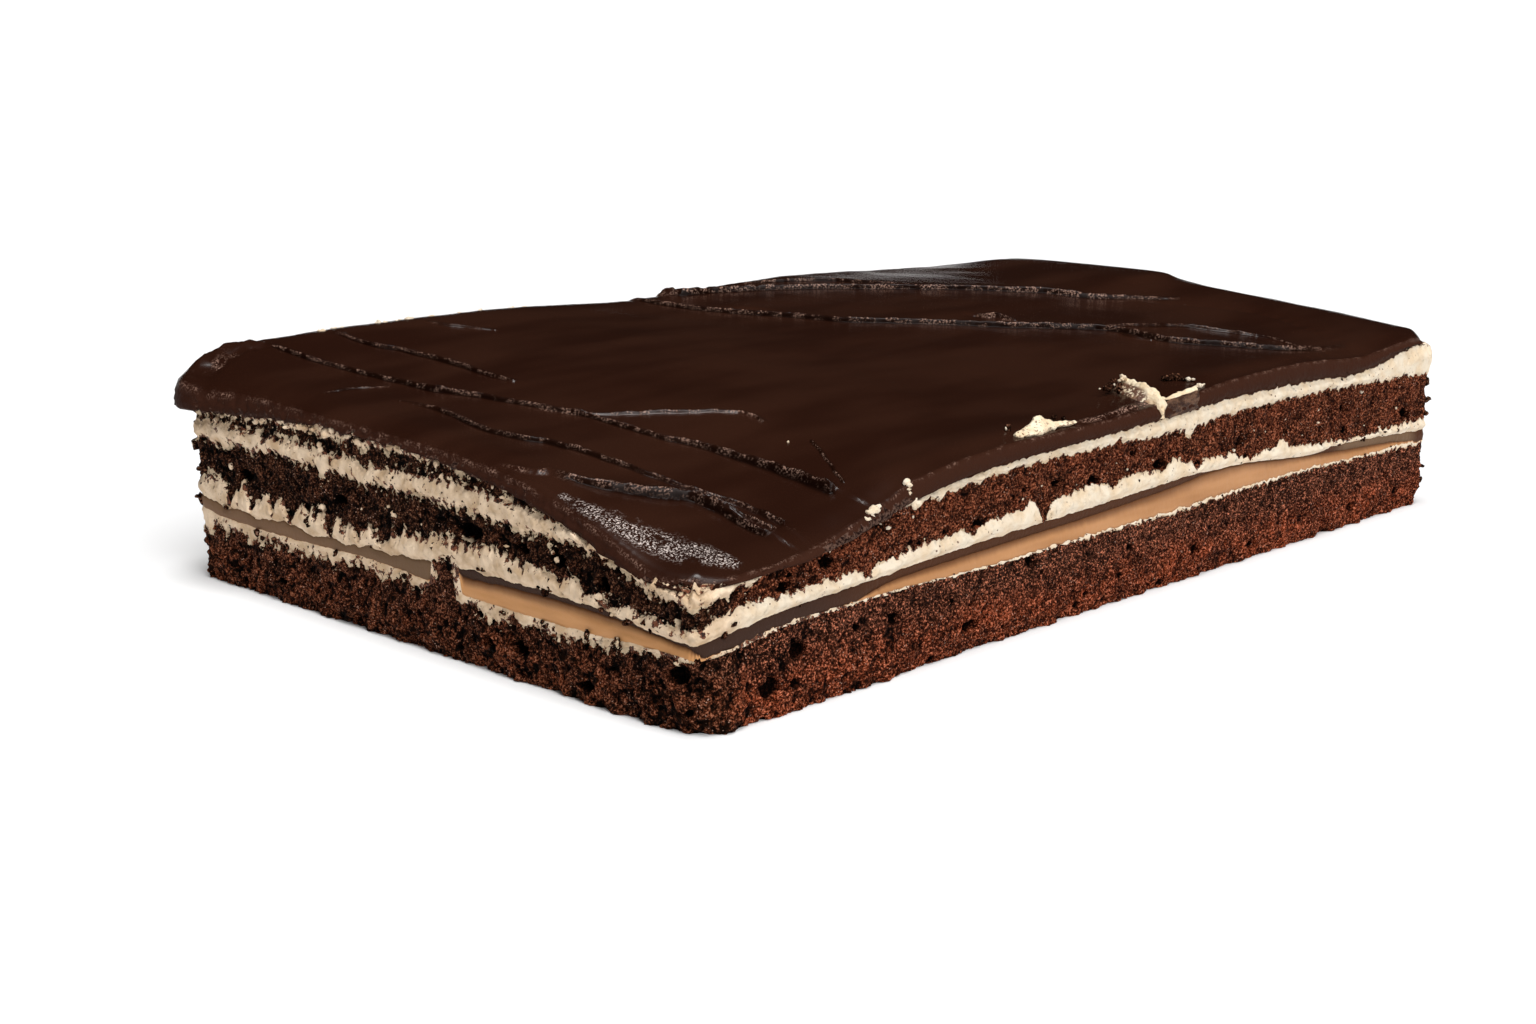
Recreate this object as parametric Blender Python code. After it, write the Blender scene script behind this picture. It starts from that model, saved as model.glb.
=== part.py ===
"""Triple chocolate mousse cake: a cut slab of sponge, cream, caramel and mousse under spread ganache.

Metres, +Z up. The origin is under the middle of the slab, on the table. +X runs along the length.
Plan positions are counted from the near corner, where the cut front (y = 0) meets the cut left
side (x = 0). There the layers have slumped and the ganache comes down with them.
"""

import math

import bmesh
import bpy
from mathutils import Vector, noise
from mathutils.bvhtree import BVHTree

MM = 0.001
LENGTH = 250 * MM
WIDTH = 155 * MM
# Corner radii in plan: the near and the right corner, then the left and the far one.
CORNER_RADII = ((9 * MM, 5 * MM), (5 * MM, 8 * MM))
GANACHE_RADII = ((9 * MM, 14 * MM), (11 * MM, 8 * MM))
# Where the middle of the whole cake's box is, counted from the near corner.
CENTRE_X = 123.1 * MM
CENTRE_Y = 79.4 * MM
GAP = 0.3 * MM  # left between neighbours
THINNEST = 0.6 * MM  # least rise from one layer's top to the next, with its gap
FLAT = 1e-6  # two places closer than this, in a unit sheet, are one

# The rim is cut into this many columns. The hidden sheets between layers have far fewer lines
# inside, at these columns, closest near the slumped corner.
COLUMNS_X, COLUMNS_Y = 48, 30
LINES_X = (0, 2, 5, 10, 18, 28, 38, 48)
LINES_Y = (0, 2, 5, 10, 16, 23, 30)

# Places along the sides, in millimetres, where the top of each layer is given.
FRONT = (0, 10, 20, 32, 45, 56, 80, 110, 140, 160, 190, 215, 240, 250)
LEFT = (0, 10, 25, 45, 65, 90, 120, 145, 155)
BACK = (0, 12, 60, 125, 190, 250)
RIGHT = (0, 10, 40, 75, 100, 130, 155)
SIDES = (FRONT, LEFT, BACK, RIGHT)

# Top of each layer in millimetres at those places: front, left, back, right. A layer that thins out
# has 0 there, and keeps the least thickness. Then: how far its edge stands out, how rough it is,
# how many faces high its side is, and its colour, roughness.
LAYERS = {
    "base_sponge": dict(
        tops=(
            (13.8, 14.0, 15.5, 15.9, 16.0, 16.0, 15.5, 15.7, 15.6, 16.2, 16.5, 16.0, 15.4, 15.0),
            (13.8, 13.3, 11.8, 11.3, 12.1, 13.0, 12.3, 12.5, 13.0),
            (13.0, 12.8, 13.5, 12.6, 13.8, 14.0),
            (15.0, 15.5, 15.8, 15.0, 15.4, 14.6, 14.0),
        ),
        edge=0.3, crags=1.3, bands=3, colour=(0.135, 0.046, 0.022), gloss=0.9,
    ),
    "lower_cream": dict(
        tops=(
            (0, 0, 0, 0, 0, 0, 0, 0, 0, 0, 0, 0, 0, 0),
            (0, 14.0, 13.2, 13.0, 13.4, 14.8, 14.2, 14.6, 16.0),
            (16.0, 15.2, 15.0, 14.2, 15.2, 15.0),
            (0, 16.3, 16.8, 16.4, 16.6, 15.8, 15.0),
        ),
        edge=0.5, crags=0.4, bands=1, colour=(0.80, 0.66, 0.45), gloss=0.6,
    ),
    "caramel": dict(
        tops=(
            (0, 0, 0, 17.0, 17.7, 18.3, 19.0, 19.7, 21.0, 22.4, 20.1, 18.3, 17.0, 0),
            (0, 16.0, 17.0, 17.1, 16.3, 0, 0, 0, 0),
            (0, 0, 16.2, 17.5, 18.5, 16.8),
            (0, 17.4, 19.4, 19.0, 20.6, 18.6, 16.8),
        ),
        edge=-0.2, crags=0.2, bands=1, colour=(0.55, 0.29, 0.13), gloss=0.45,
    ),
    "chocolate_mousse": dict(
        tops=(
            (16.2, 17.3, 18.3, 18.9, 19.4, 20.1, 21.0, 21.7, 22.6, 0, 0, 20.2, 18.8, 18.2),
            (16.2, 17.0, 18.2, 18.4, 18.2, 16.9, 17.0, 17.3, 18.5),
            (18.5, 18.2, 18.4, 19.6, 20.0, 19.0),
            (18.2, 18.8, 20.4, 20.6, 21.8, 20.2, 19.0),
        ),
        edge=0.0, crags=0.2, bands=1, colour=(0.11, 0.075, 0.055), gloss=0.5,
    ),
    "middle_cream": dict(
        tops=(
            (18.2, 21.3, 21.2, 21.6, 22.0, 23.2, 24.7, 25.8, 26.0, 25.0, 22.6, 21.3, 21.3, 20.6),
            (18.2, 19.0, 20.5, 22.6, 23.3, 20.8, 21.8, 22.8, 21.0),
            (21.0, 21.6, 22.6, 23.8, 23.2, 22.4),
            (20.6, 21.8, 23.6, 24.2, 25.0, 23.8, 22.4),
        ),
        edge=0.7, crags=0.6, bands=2, colour=(0.80, 0.66, 0.45), gloss=0.6,
    ),
    "upper_sponge": dict(
        tops=(
            (21.7, 24.6, 26.0, 27.8, 30.6, 31.3, 33.3, 33.6, 33.0, 34.2, 34.2, 33.6, 32.8, 32.0),
            (21.7, 23.7, 28.0, 28.8, 29.6, 30.2, 30.8, 30.5, 31.0),
            (31.0, 31.2, 32.0, 31.2, 31.8, 31.0),
            (32.0, 32.5, 33.6, 36.0, 37.0, 33.6, 31.0),
        ),
        edge=0.3, crags=1.4, bands=3, colour=(0.11, 0.040, 0.022), gloss=0.9,
    ),
    "top_cream": dict(
        tops=(
            (24.6, 26.2, 26.6, 0, 0, 32.6, 34.8, 35.6, 36.6, 37.4, 37.2, 36.4, 39.8, 39.0),
            (24.6, 26.0, 30.2, 33.1, 34.2, 33.8, 34.5, 35.3, 34.0),
            (34.0, 35.0, 36.2, 35.4, 36.4, 35.0),
            (39.0, 38.5, 37.4, 39.5, 40.6, 37.6, 35.0),
        ),
        edge=0.8, crags=0.6, bands=2, colour=(0.80, 0.66, 0.45), gloss=0.6,
    ),
    "top_sponge": dict(
        tops=(
            (0, 0, 0, 0, 0, 0, 0, 0, 0, 0, 0, 0, 0, 0),
            (0, 26.7, 31.0, 34.7, 37.0, 37.6, 37.6, 36.7, 36.4),
            (36.4, 37.2, 38.6, 37.8, 38.0, 36.6),
            (0, 39.3, 38.6, 41.4, 42.4, 39.2, 36.6),
        ),
        edge=0.2, crags=0.6, bands=1, colour=(0.09, 0.034, 0.020), gloss=0.9,
    ),
    "cream_fringe": dict(
        tops=(
            (0, 0, 0, 0, 0, 0, 0, 0, 0, 0, 0, 0, 0, 0),
            (0, 27.3, 31.8, 35.6, 38.0, 38.8, 38.7, 37.4, 37.0),
            (37.0, 38.0, 39.6, 38.6, 38.8, 37.3),
            (0, 40.0, 39.5, 42.4, 43.3, 40.0, 37.3),
        ),
        edge=0.4, crags=0.5, bands=1, colour=(0.78, 0.62, 0.42), gloss=0.7,
    ),
    "ganache": dict(
        tops=(
            (27.4, 28.2, 28.6, 30.4, 34.0, 37.6, 39.9, 40.3, 41.6, 43.0, 43.2, 41.6, 43.8, 42.4),
            (27.4, 29.2, 34.6, 39.6, 41.8, 42.8, 43.8, 46.0, 47.0),
            (47.0, 49.8, 50.0, 48.4, 48.6, 45.2),
            (42.4, 43.6, 46.4, 50.0, 51.8, 49.6, 45.2),
        ),
        edge=0.6, crags=0.3, bands=2, colour=(0.030, 0.013, 0.009), gloss=0.28,
    ),
}
NAMES = tuple(LAYERS)

# The ganache rounds over at its rim, stands out at the far left corner and draws back from the
# right one, where the top cream shows past it.
SHOULDER_DROP = 1.2 * MM
SHOULDER_SHARE = 0.4  # and no more than this share of the ganache's thickness
SHOULDER_IN = 6.0 * MM
RIM_BULGE = 0.8 * MM
LEFT_LIP = 6.6 * MM
RIGHT_BARE = 2.0 * MM
LIP_REACH = 28.0 * MM

# The cut sides are crumbly: grains this large, squashed in height, stand out and in. The base is
# worn back at its lower edge.
GRAIN = 9 * MM
GRAIN_SQUASH = 1.6
LOWER_EDGE_WORN = 1.6 * MM

# Marks of the spreading knife: the route in plan (millimetres from the near corner), then the
# height, the half width and the step up to its left, all in millimetres.
RIDGES = (
    dict(route=((0, 50), (3, 46), (10, 35), (18, 27), (22, 18), (24, 5)), high=0.8, wide=3.0, step=1.2),
    dict(route=((16, 88), (12, 70), (20, 53), (23, 34), (28, 18), (27, 4)), high=1.0, wide=2.6, step=0.3),
    dict(
        route=((18, 148), (22, 122), (27, 93), (33, 74), (36, 56), (42, 35), (44, 12), (42, 6)),
        high=1.2, wide=2.6, step=0.4,
    ),
    dict(route=((37, 70), (47, 59), (57, 50), (57, 41)), high=1.0, wide=2.6, step=0.0),
    dict(route=((33, 148), (38, 132), (41, 118), (39, 95)), high=0.8, wide=2.6, step=0.3),
    dict(
        route=((130, 155), (126, 137), (135, 111), (149, 83), (170, 62), (181, 48), (184, 25), (204, 7)),
        high=0.7, wide=3.0, step=1.3,
    ),
    dict(
        route=((150, 155), (170, 144), (183, 122), (198, 96), (211, 79), (230, 62)),
        high=0.7, wide=3.0, step=1.2,
    ),
)
STEP_FADES_OVER = 40 * MM
MARK_STARTS_AT = 0.35  # share of its height that a mark has at its ends
MARK_RISES_BY = 6.0  # and how fast it grows from there
MARK_LEFT_AT_RIM = 0.3

# Cream pulled up over the front edge by the knife: where each piece begins and ends in plan, how
# wide it is, how high it stands on the ganache and where along it that is.
SMEARS = {
    "cream_curl": dict(start=(135.5, 15.5), end=(131.5, 2.0), wide=6.0, high=3.4, peak=0.5),
    "cream_lip": dict(start=(135.5, 1.6), end=(146.5, 1.6), wide=2.0, high=1.6, peak=0.4),
    "cream_smear": dict(start=(87.5, 3.4), end=(102.0, 3.0), wide=4.6, high=3.0, peak=0.4),
}
SMEAR_CELLS_LONG, SMEAR_CELLS_ACROSS = 12, 5
SMEAR_EDGE = 0.5 * MM
SMEAR_TIP = 0.25  # share of its width and height that a piece keeps at its ends
LUMP = 3 * MM

CREAM_COLOUR = (0.82, 0.68, 0.47)


def smooth(share):
    """0 to 1 with a soft start and end."""
    share = min(max(share, 0.0), 1.0)
    return share * share * (3 - 2 * share)


def along(places, heights, at):
    """The height at a place on a side, on a smooth curve through those given."""
    last = len(places) - 1
    at = min(max(at, places[0]), places[last])
    i = next(k for k in range(last) if at <= places[k + 1])

    def slope(k):
        before, after = max(k - 1, 0), min(k + 1, last)
        return (heights[after] - heights[before]) / (places[after] - places[before])

    width = places[i + 1] - places[i]
    t = (at - places[i]) / width
    start, rise = heights[i], heights[i + 1] - heights[i]
    bend_in, bend_out = slope(i) * width - rise, slope(i + 1) * width - rise
    return start + rise * t + t * (1 - t) * ((1 - t) * bend_in - t * bend_out)


def stacked_tops():
    """For each layer and side the tops in metres, each at least THINNEST above the one below."""
    stacked = {}
    below = [[0.0] * len(places) for places in SIDES]
    for name, layer in LAYERS.items():
        below = [
            [max(top * MM, under + THINNEST) for top, under in zip(side, beneath)]
            for side, beneath in zip(layer["tops"], below)
        ]
        stacked[name] = below
    return stacked


TOPS = stacked_tops()


def level(name, x, y):
    """Top of a layer at a plan position: the four sides' heights, each weighted by nearness."""
    front, left, back, right = TOPS[name]
    x, y = min(max(x, 0.0), LENGTH), min(max(y, 0.0), WIDTH)
    sides = (
        (y, along(FRONT, front, x / MM)),
        (x, along(LEFT, left, y / MM)),
        (WIDTH - y, along(BACK, back, x / MM)),
        (LENGTH - x, along(RIGHT, right, y / MM)),
    )
    weights = [1 / max(distance, 0.01 * MM) for distance, _ in sides]
    return sum(w * height for w, (_, height) in zip(weights, sides)) / sum(weights)


def route_points(route, steps=6):
    """A smooth curve through a knife mark's points, in metres."""
    ends = (route[0], *route, route[-1])
    points = []
    for before, start, end, after in zip(ends, ends[1:], ends[2:], ends[3:]):
        for k in range(steps):
            t = k / steps
            points.append(
                tuple(
                    0.5 * MM * (2 * b + (c - a) * t + (2 * a - 5 * b + 4 * c - d) * t**2
                                + (3 * b - a - 3 * c + d) * t**3)
                    for a, b, c, d in zip(before, start, end, after)
                )
            )
    points.append((route[-1][0] * MM, route[-1][1] * MM))
    return points


ROUTES = [route_points(ridge["route"]) for ridge in RIDGES]


def nearest_on_route(points, x, y):
    """Distance to a route, the side of it (1 on its left, -1 on its right), the share along it."""
    best = (math.inf, 0.0, 0.0)
    for k, ((ax, ay), (bx, by)) in enumerate(zip(points, points[1:])):
        dx, dy = bx - ax, by - ay
        t = min(max(((x - ax) * dx + (y - ay) * dy) / (dx * dx + dy * dy), 0.0), 1.0)
        off_x, off_y = x - ax - t * dx, y - ay - t * dy
        distance = math.hypot(off_x, off_y)
        if distance < best[0]:
            side = 1.0 if off_y * dx - off_x * dy > 0 else -1.0
            best = (distance, side, (k + t) / (len(points) - 1))
    return best


def knife_marks(x, y):
    """How far the knife marks lift the ganache at a plan position."""
    lift = 0.0
    for ridge, points in zip(RIDGES, ROUTES):
        distance, side, share = nearest_on_route(points, x, y)
        fade = smooth(min(share, 1 - share) * MARK_RISES_BY + MARK_STARTS_AT)
        lift += ridge["high"] * MM * math.exp(-((distance / (ridge["wide"] * MM)) ** 2)) * fade
        if side > 0:
            lift += ridge["step"] * MM * fade * (1 - smooth(distance / STEP_FADES_OVER))
    return lift


def crest(x, y):
    """Top of the ganache at a plan position."""
    edge = max(min(x, y, LENGTH - x, WIDTH - y), 0.0)
    top = level("ganache", x, y)
    drop = min(SHOULDER_DROP, SHOULDER_SHARE * (top - level("cream_fringe", x, y)))
    marks = knife_marks(x, y) * smooth(edge / SHOULDER_IN + MARK_LEFT_AT_RIM)
    return top - drop * (1 - smooth(edge / SHOULDER_IN)) + marks


def corner_radius(name, x, y):
    """Radius, in one layer, of the corner nearest to a plan position."""
    radii = GANACHE_RADII if name == "ganache" else CORNER_RADII
    return radii[y > WIDTH / 2][x > LENGTH / 2]


def rounded(r, x, y):
    """A plan position in a square-cornered slab, moved into one with a corner of radius r."""
    from_x, from_y = min(x, LENGTH - x), min(y, WIDTH - y)
    if from_x < r and from_y < r:
        a, b = 1 - from_x / r, 1 - from_y / r
        in_x = r * (1 - a * math.sqrt(1 - b * b / 2))
        in_y = r * (1 - b * math.sqrt(1 - a * a / 2))
        x = in_x if x < LENGTH / 2 else LENGTH - in_x
        y = in_y if y < WIDTH / 2 else WIDTH - in_y
    return x, y


def outward(r, x, y):
    """The direction out of the slab, in plan, at a point of its rim rounded to radius r."""
    core_x = min(max(x, r), LENGTH - r)
    core_y = min(max(y, r), WIDTH - r)
    return Vector((x - core_x, y - core_y, 0)).normalized()


def near_corner_share(x, y, corner_x, corner_y):
    """1 at a corner of the slab, 0 from LIP_REACH away."""
    return 1 - smooth(math.hypot(x - corner_x, y - corner_y) / LIP_REACH)


def edge_offset(name, x, y, height_share, z):
    """How far a layer's side stands out at a rim point."""
    layer = LAYERS[name]
    row = NAMES.index(name) * LENGTH
    rough = noise.noise(Vector((x, y + row, z * GRAIN_SQUASH)) / GRAIN)
    offset = (layer["edge"] + layer["crags"] * rough) * MM
    if z < FLAT:
        offset -= LOWER_EDGE_WORN
    if name == "ganache":
        offset += LEFT_LIP * near_corner_share(x, y, 0, WIDTH)
        offset -= RIGHT_BARE * near_corner_share(x, y, LENGTH, 0)
        offset += RIM_BULGE * math.sin(math.pi * height_share)
    return offset


def lattice_sheet(bm, height, fine):
    """A flat sheet over the unit square, with the rim's columns, coarse or fine inside."""
    lines_x = range(COLUMNS_X + 1) if fine else LINES_X
    lines_y = range(COLUMNS_Y + 1) if fine else LINES_Y
    cells_x, cells_y = len(lines_x) - 1, len(lines_y) - 1
    verts = bmesh.ops.create_grid(bm, x_segments=cells_x, y_segments=cells_y, size=0.5)["verts"]
    for v in verts:
        column = lines_x[round((v.co.x + 0.5) * cells_x)]
        row = lines_y[round((v.co.y + 0.5) * cells_y)]
        v.co = (column / COLUMNS_X, row / COLUMNS_Y, height)
    faces = {f for v in verts for f in v.link_faces}
    rim = {e for f in faces for e in f.edges if e.is_boundary}
    for columns in {columns_spanned(e) for e in rim} - {1}:
        run = [e for e in rim if e.is_valid and columns_spanned(e) == columns]
        rim.difference_update(run)
        bmesh.ops.subdivide_edges(bm, edges=run, cuts=columns - 1)
    sheet = [f for f in bm.faces if all(abs(v.co.z - height) < FLAT for v in f.verts)]
    bmesh.ops.triangulate(bm, faces=sheet, quad_method="FIXED", ngon_method="BEAUTY")
    return [e for e in bm.edges if e.is_boundary and abs(e.verts[0].co.z - height) < FLAT]


def columns_spanned(edge):
    """How many of the rim's columns an edge of a flat sheet runs over."""
    step = edge.verts[0].co - edge.verts[1].co
    return round(max(abs(step.x) * COLUMNS_X, abs(step.y) * COLUMNS_Y))


def unit_slab(bands, fine_top=False):
    """A closed slab one unit long, wide and high, its sides `bands` faces high."""
    bm = bmesh.new()
    low_rim = lattice_sheet(bm, 0.0, False)
    high_rim = lattice_sheet(bm, 1.0, fine_top)
    bmesh.ops.bridge_loops(bm, edges=low_rim + high_rim)
    upright = [e for e in bm.edges if abs(e.verts[0].co.z - e.verts[1].co.z) > 0.5]
    if bands > 1:
        bmesh.ops.subdivide_edges(bm, edges=upright, cuts=bands - 1, use_grid_fill=True)
    bmesh.ops.triangulate(bm, faces=[f for f in bm.faces if len(f.verts) > 3])
    bmesh.ops.recalc_face_normals(bm, faces=bm.faces)
    return bm


def layer_height(name, x, y, share):
    """Height of a point of a layer, from its underside (0) to its top (1), at a plan position."""
    index = NAMES.index(name)
    low = level(NAMES[index - 1], x, y) + GAP / 2 if index else 0.0
    high = crest(x, y) if name == "ganache" else level(name, x, y) - GAP / 2
    return low + (high - low) * share


def shape_layer(bm, name):
    """Moves a unit slab's vertices to one layer of the cake.

    A rim point that stands out or in stays on the slope from the rim to the sheet's first points
    inside, so that two layers with unlike edges still lie face to face.
    """
    inside = LINES_X[1] * LENGTH / COLUMNS_X
    for v in bm.verts:
        u, w, share = v.co
        r = corner_radius(name, u * LENGTH, w * WIDTH)
        x, y = rounded(r, u * LENGTH, w * WIDTH)
        z = layer_height(name, x, y, share)
        if min(u, w, 1 - u, 1 - w) < FLAT:
            out = outward(r, x, y)
            offset = edge_offset(name, x, y, share, z)
            inner = layer_height(name, x - out.x * inside, y - out.y * inside, share)
            x, y = x + out.x * offset, y + out.y * offset
            z = max(z - (inner - z) * offset / inside, 0.0)
        v.co = (x - CENTRE_X, y - CENTRE_Y, z)


def finish_mesh(bm, name, colour, roughness, collection):
    """Makes a named object of a bmesh, with its own material."""
    mesh = bpy.data.meshes.new(name)
    bm.to_mesh(mesh)
    bm.free()
    material = bpy.data.materials.new(name)
    material.use_nodes = True
    shader = material.node_tree.nodes["Principled BSDF"]
    shader.inputs["Base Color"].default_value = (*colour, 1)
    shader.inputs["Roughness"].default_value = roughness
    shader.inputs["Metallic"].default_value = 0.0
    mesh.materials.append(material)
    piece = bpy.data.objects.new(name, mesh)
    collection.objects.link(piece)
    return piece


def make_layer(name, collection):
    """One layer of the cake, from side to side."""
    layer = LAYERS[name]
    bm = unit_slab(layer["bands"], fine_top=name == "ganache")
    shape_layer(bm, name)
    return finish_mesh(bm, name, layer["colour"], layer["gloss"], collection)


def make_smear(name, ganache_surface, collection):
    """A curl of cream lying on the ganache at the front edge."""
    smear = SMEARS[name]
    start, end = (
        Vector((x * MM - CENTRE_X, y * MM - CENTRE_Y, 0)) for x, y in (smear["start"], smear["end"])
    )
    across = Vector((start.y - end.y, end.x - start.x, 0)).normalized()
    bm = bmesh.new()
    bmesh.ops.create_grid(bm, x_segments=SMEAR_CELLS_LONG, y_segments=SMEAR_CELLS_ACROSS, size=0.5)
    made = bmesh.ops.extrude_face_region(bm, geom=bm.faces[:], use_keep_orig=True)
    raised = {g for g in made["geom"] if isinstance(g, bmesh.types.BMVert)}
    for v in bm.verts:
        run, side = v.co.x + 0.5, v.co.y * 2
        rise = run / smear["peak"] if run < smear["peak"] else (1 - run) / (1 - smear["peak"])
        taper = SMEAR_TIP + (1 - SMEAR_TIP) * math.sin(math.pi / 2 * rise)
        spot = start.lerp(end, run) + across * side * smear["wide"] / 2 * MM * taper
        bed = ganache_surface.ray_cast(spot + Vector((0, 0, 1)), Vector((0, 0, -1)))[0].z + 2 * GAP
        swell = (1 - side * side) * taper * (0.6 + 0.4 * noise.noise(spot / LUMP))
        thick = SMEAR_EDGE + smear["high"] * MM * swell
        v.co = (spot.x, spot.y, bed + (thick if v in raised else 0.0))
    bmesh.ops.triangulate(bm, faces=bm.faces[:])
    bmesh.ops.recalc_face_normals(bm, faces=bm.faces)
    return finish_mesh(bm, name, CREAM_COLOUR, 0.6, collection)


def clear_scene():
    for old in list(bpy.data.objects):
        bpy.data.objects.remove(old, do_unlink=True)


def main():
    clear_scene()
    collection = bpy.data.collections.new("chocolate_mousse_cake")
    bpy.context.scene.collection.children.link(collection)
    pieces = {name: make_layer(name, collection) for name in NAMES}
    ganache = bmesh.new()
    ganache.from_mesh(pieces["ganache"].data)
    surface = BVHTree.FromBMesh(ganache)
    for name in SMEARS:
        make_smear(name, surface, collection)
    ganache.free()


main()
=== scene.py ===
import itertools
import math

import bmesh
import bpy
import numpy as np
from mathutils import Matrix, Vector
from mathutils.bvhtree import BVHTree


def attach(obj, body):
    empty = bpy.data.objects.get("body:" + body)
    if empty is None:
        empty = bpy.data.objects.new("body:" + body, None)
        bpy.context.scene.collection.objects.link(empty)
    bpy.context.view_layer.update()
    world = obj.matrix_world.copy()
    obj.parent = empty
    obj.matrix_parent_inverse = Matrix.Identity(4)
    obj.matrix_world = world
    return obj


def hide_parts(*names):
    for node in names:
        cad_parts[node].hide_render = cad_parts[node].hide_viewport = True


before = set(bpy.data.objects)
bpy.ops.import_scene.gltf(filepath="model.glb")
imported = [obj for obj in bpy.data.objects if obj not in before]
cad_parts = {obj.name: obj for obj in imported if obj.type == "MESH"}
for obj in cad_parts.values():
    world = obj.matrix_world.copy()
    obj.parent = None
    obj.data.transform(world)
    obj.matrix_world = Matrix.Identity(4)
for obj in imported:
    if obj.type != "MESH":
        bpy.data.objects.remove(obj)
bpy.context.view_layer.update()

# The camera, at the height of the top of a table stand and turned to the slab's near corner. It
# comes first because every width below was chosen to be seen from here.
MM = 0.001
CENTRE = (123.1, 79.4)  # plan position, in millimetres from the near corner, over the frame's origin
CAMERA_SPOT = (-233.1, -243.5, 118.55)
CAMERA_DOWN, CAMERA_TURN = 76.763, -45.740

camera = bpy.data.objects.new("camera", bpy.data.cameras.new("camera"))
bpy.context.scene.collection.objects.link(camera)
camera.data.lens, camera.data.sensor_width = 50, 36
camera.location = [(at - off) * MM for at, off in zip(CAMERA_SPOT, (*CENTRE, 0))]
camera.rotation_euler = (math.radians(CAMERA_DOWN), 0, math.radians(CAMERA_TURN))
camera.data.clip_start, camera.data.clip_end = 0.01, 100
bpy.context.scene.camera = camera

# ---------------------------------------------------------------------------------------------
# Base sponge: the thick chocolate sponge at the bottom, cut on all sides, with open crumb, torn
# pores and a worn lower edge. The cut through all the layers is one surface, so its course round
# the slab, the lines between the layers and its crumb are settled here.
LENGTH, WIDTH = 250.0, 155.0
CORNER_RADII = (9.0, 5.0, 8.0, 5.0)  # near, right, far, left
TOP_RADII = (6.0, 4.5, 8.0, 5.0)  # of the base sponge's top edge
SHARP_RADII = (2.5, 3.5, 7.0, 4.0)  # and of all above it
COLUMN = 0.4
THIN = 0.6  # a layer this thin in the solids has run out, and is drawn down to the next number
RUN_OUT = 0.06
SIDE_DEEP = 4.5  # a solid's point this near to the plan's edge is on its side
CAP_INSET, CAP_CELLS = 8.0, (20, 12)

ORDER = (
    "base_sponge", "lower_cream", "caramel", "chocolate_mousse", "middle_cream",
    "upper_sponge", "top_cream", "top_sponge", "cream_fringe", "ganache",
)


def rim(radii, counts):
    """Plan points and outward directions round a rounded rectangle, from the near corner."""
    points, outward = [], []
    starts = ((0, 0), (LENGTH, 0), (LENGTH, WIDTH), (0, WIDTH))
    for side, start in enumerate(starts):
        along = np.array(((1, 0), (0, 1), (-1, 0), (0, -1))[side], float)
        out = np.array((along[1], -along[0]))
        length = WIDTH if side % 2 else LENGTH
        first, last = radii[side], radii[(side + 1) % 4]
        share = np.arange(counts[2 * side])[:, None] / counts[2 * side]
        points.append(start + along * (first + share * (length - first - last)))
        outward.append(np.repeat(out[None], len(share), axis=0))
        turn = np.arange(counts[2 * side + 1])[:, None] / counts[2 * side + 1] * math.pi / 2
        facing = out * np.cos(turn) + along * np.sin(turn)
        points.append(start + along * (length - last) - out * last + facing * last)
        outward.append(facing)
    return np.concatenate(points), np.concatenate(outward)


def columns_in_runs(radii):
    """How many columns each straight side and each corner of the rim gets."""
    counts = []
    for side in range(4):
        length = WIDTH if side % 2 else LENGTH
        first, last = radii[side], radii[(side + 1) % 4]
        counts += [round((length - first - last) / COLUMN), round(last * math.pi / 2 / COLUMN)]
    return counts


RUNS = columns_in_runs(CORNER_RADII)
EDGE, OUTWARD = rim(CORNER_RADII, RUNS)
AROUND = len(EDGE)
# The rim at each line between two layers, from the foot up.
EDGES = [EDGE, rim(TOP_RADII, RUNS)[0]] + [rim(SHARP_RADII, RUNS)[0]] * 8


def smooth(share):
    """Eased from 0 to 1, and held there beyond them."""
    share = np.clip(share, 0, 1)
    return share * share * (3 - 2 * share)


def chance(cells, seed):
    """A fixed random number from 0 to 1 for each whole-numbered place."""
    mixed = cells[..., 0] * 73856093 + cells[..., 1] * 19349663 + cells[..., 2] * 83492791
    mixed = (mixed + seed * 60493) * 1274126177
    mixed = (mixed ^ (mixed >> 15)) * 668265263
    return ((mixed ^ (mixed >> 16)) & 0xFFFFFF) / 0x1000000


def ripple(points, size, seed):
    """Soft noise, from about -1 to 1, with lumps of a size, at each point."""
    scaled = points / size
    base = np.floor(scaled).astype(np.int64)
    part = scaled - base
    ease = part**3 * (part * (part * 6 - 15) + 10)
    total = np.zeros(len(points))
    for corner in itertools.product((0, 1), repeat=3):
        lean = [chance(base + corner, seed + axis) * 2 - 1 for axis in range(3)]
        weight = np.prod(np.where(corner, ease, 1 - ease), axis=1)
        total += weight * np.sum(np.stack(lean, axis=1) * (part - corner), axis=1)
    return total * 1.7


def grains(points, size, seed):
    """Distance from each point to the nearest grain's middle, in grain sizes, and its number."""
    scaled = points / size
    base = np.floor(scaled).astype(np.int64)
    nearest, number = np.full(len(points), 9.0), np.zeros(len(points))
    for corner in itertools.product((-1, 0, 1), repeat=3):
        cell = base + corner
        middle = cell + np.stack([chance(cell, seed + axis) for axis in range(3)], axis=1)
        away = np.sqrt(np.sum((scaled - middle) ** 2, axis=1))
        closer = away < nearest
        nearest = np.where(closer, away, nearest)
        number = np.where(closer, chance(cell, seed + 3), number)
    return nearest, number


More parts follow.
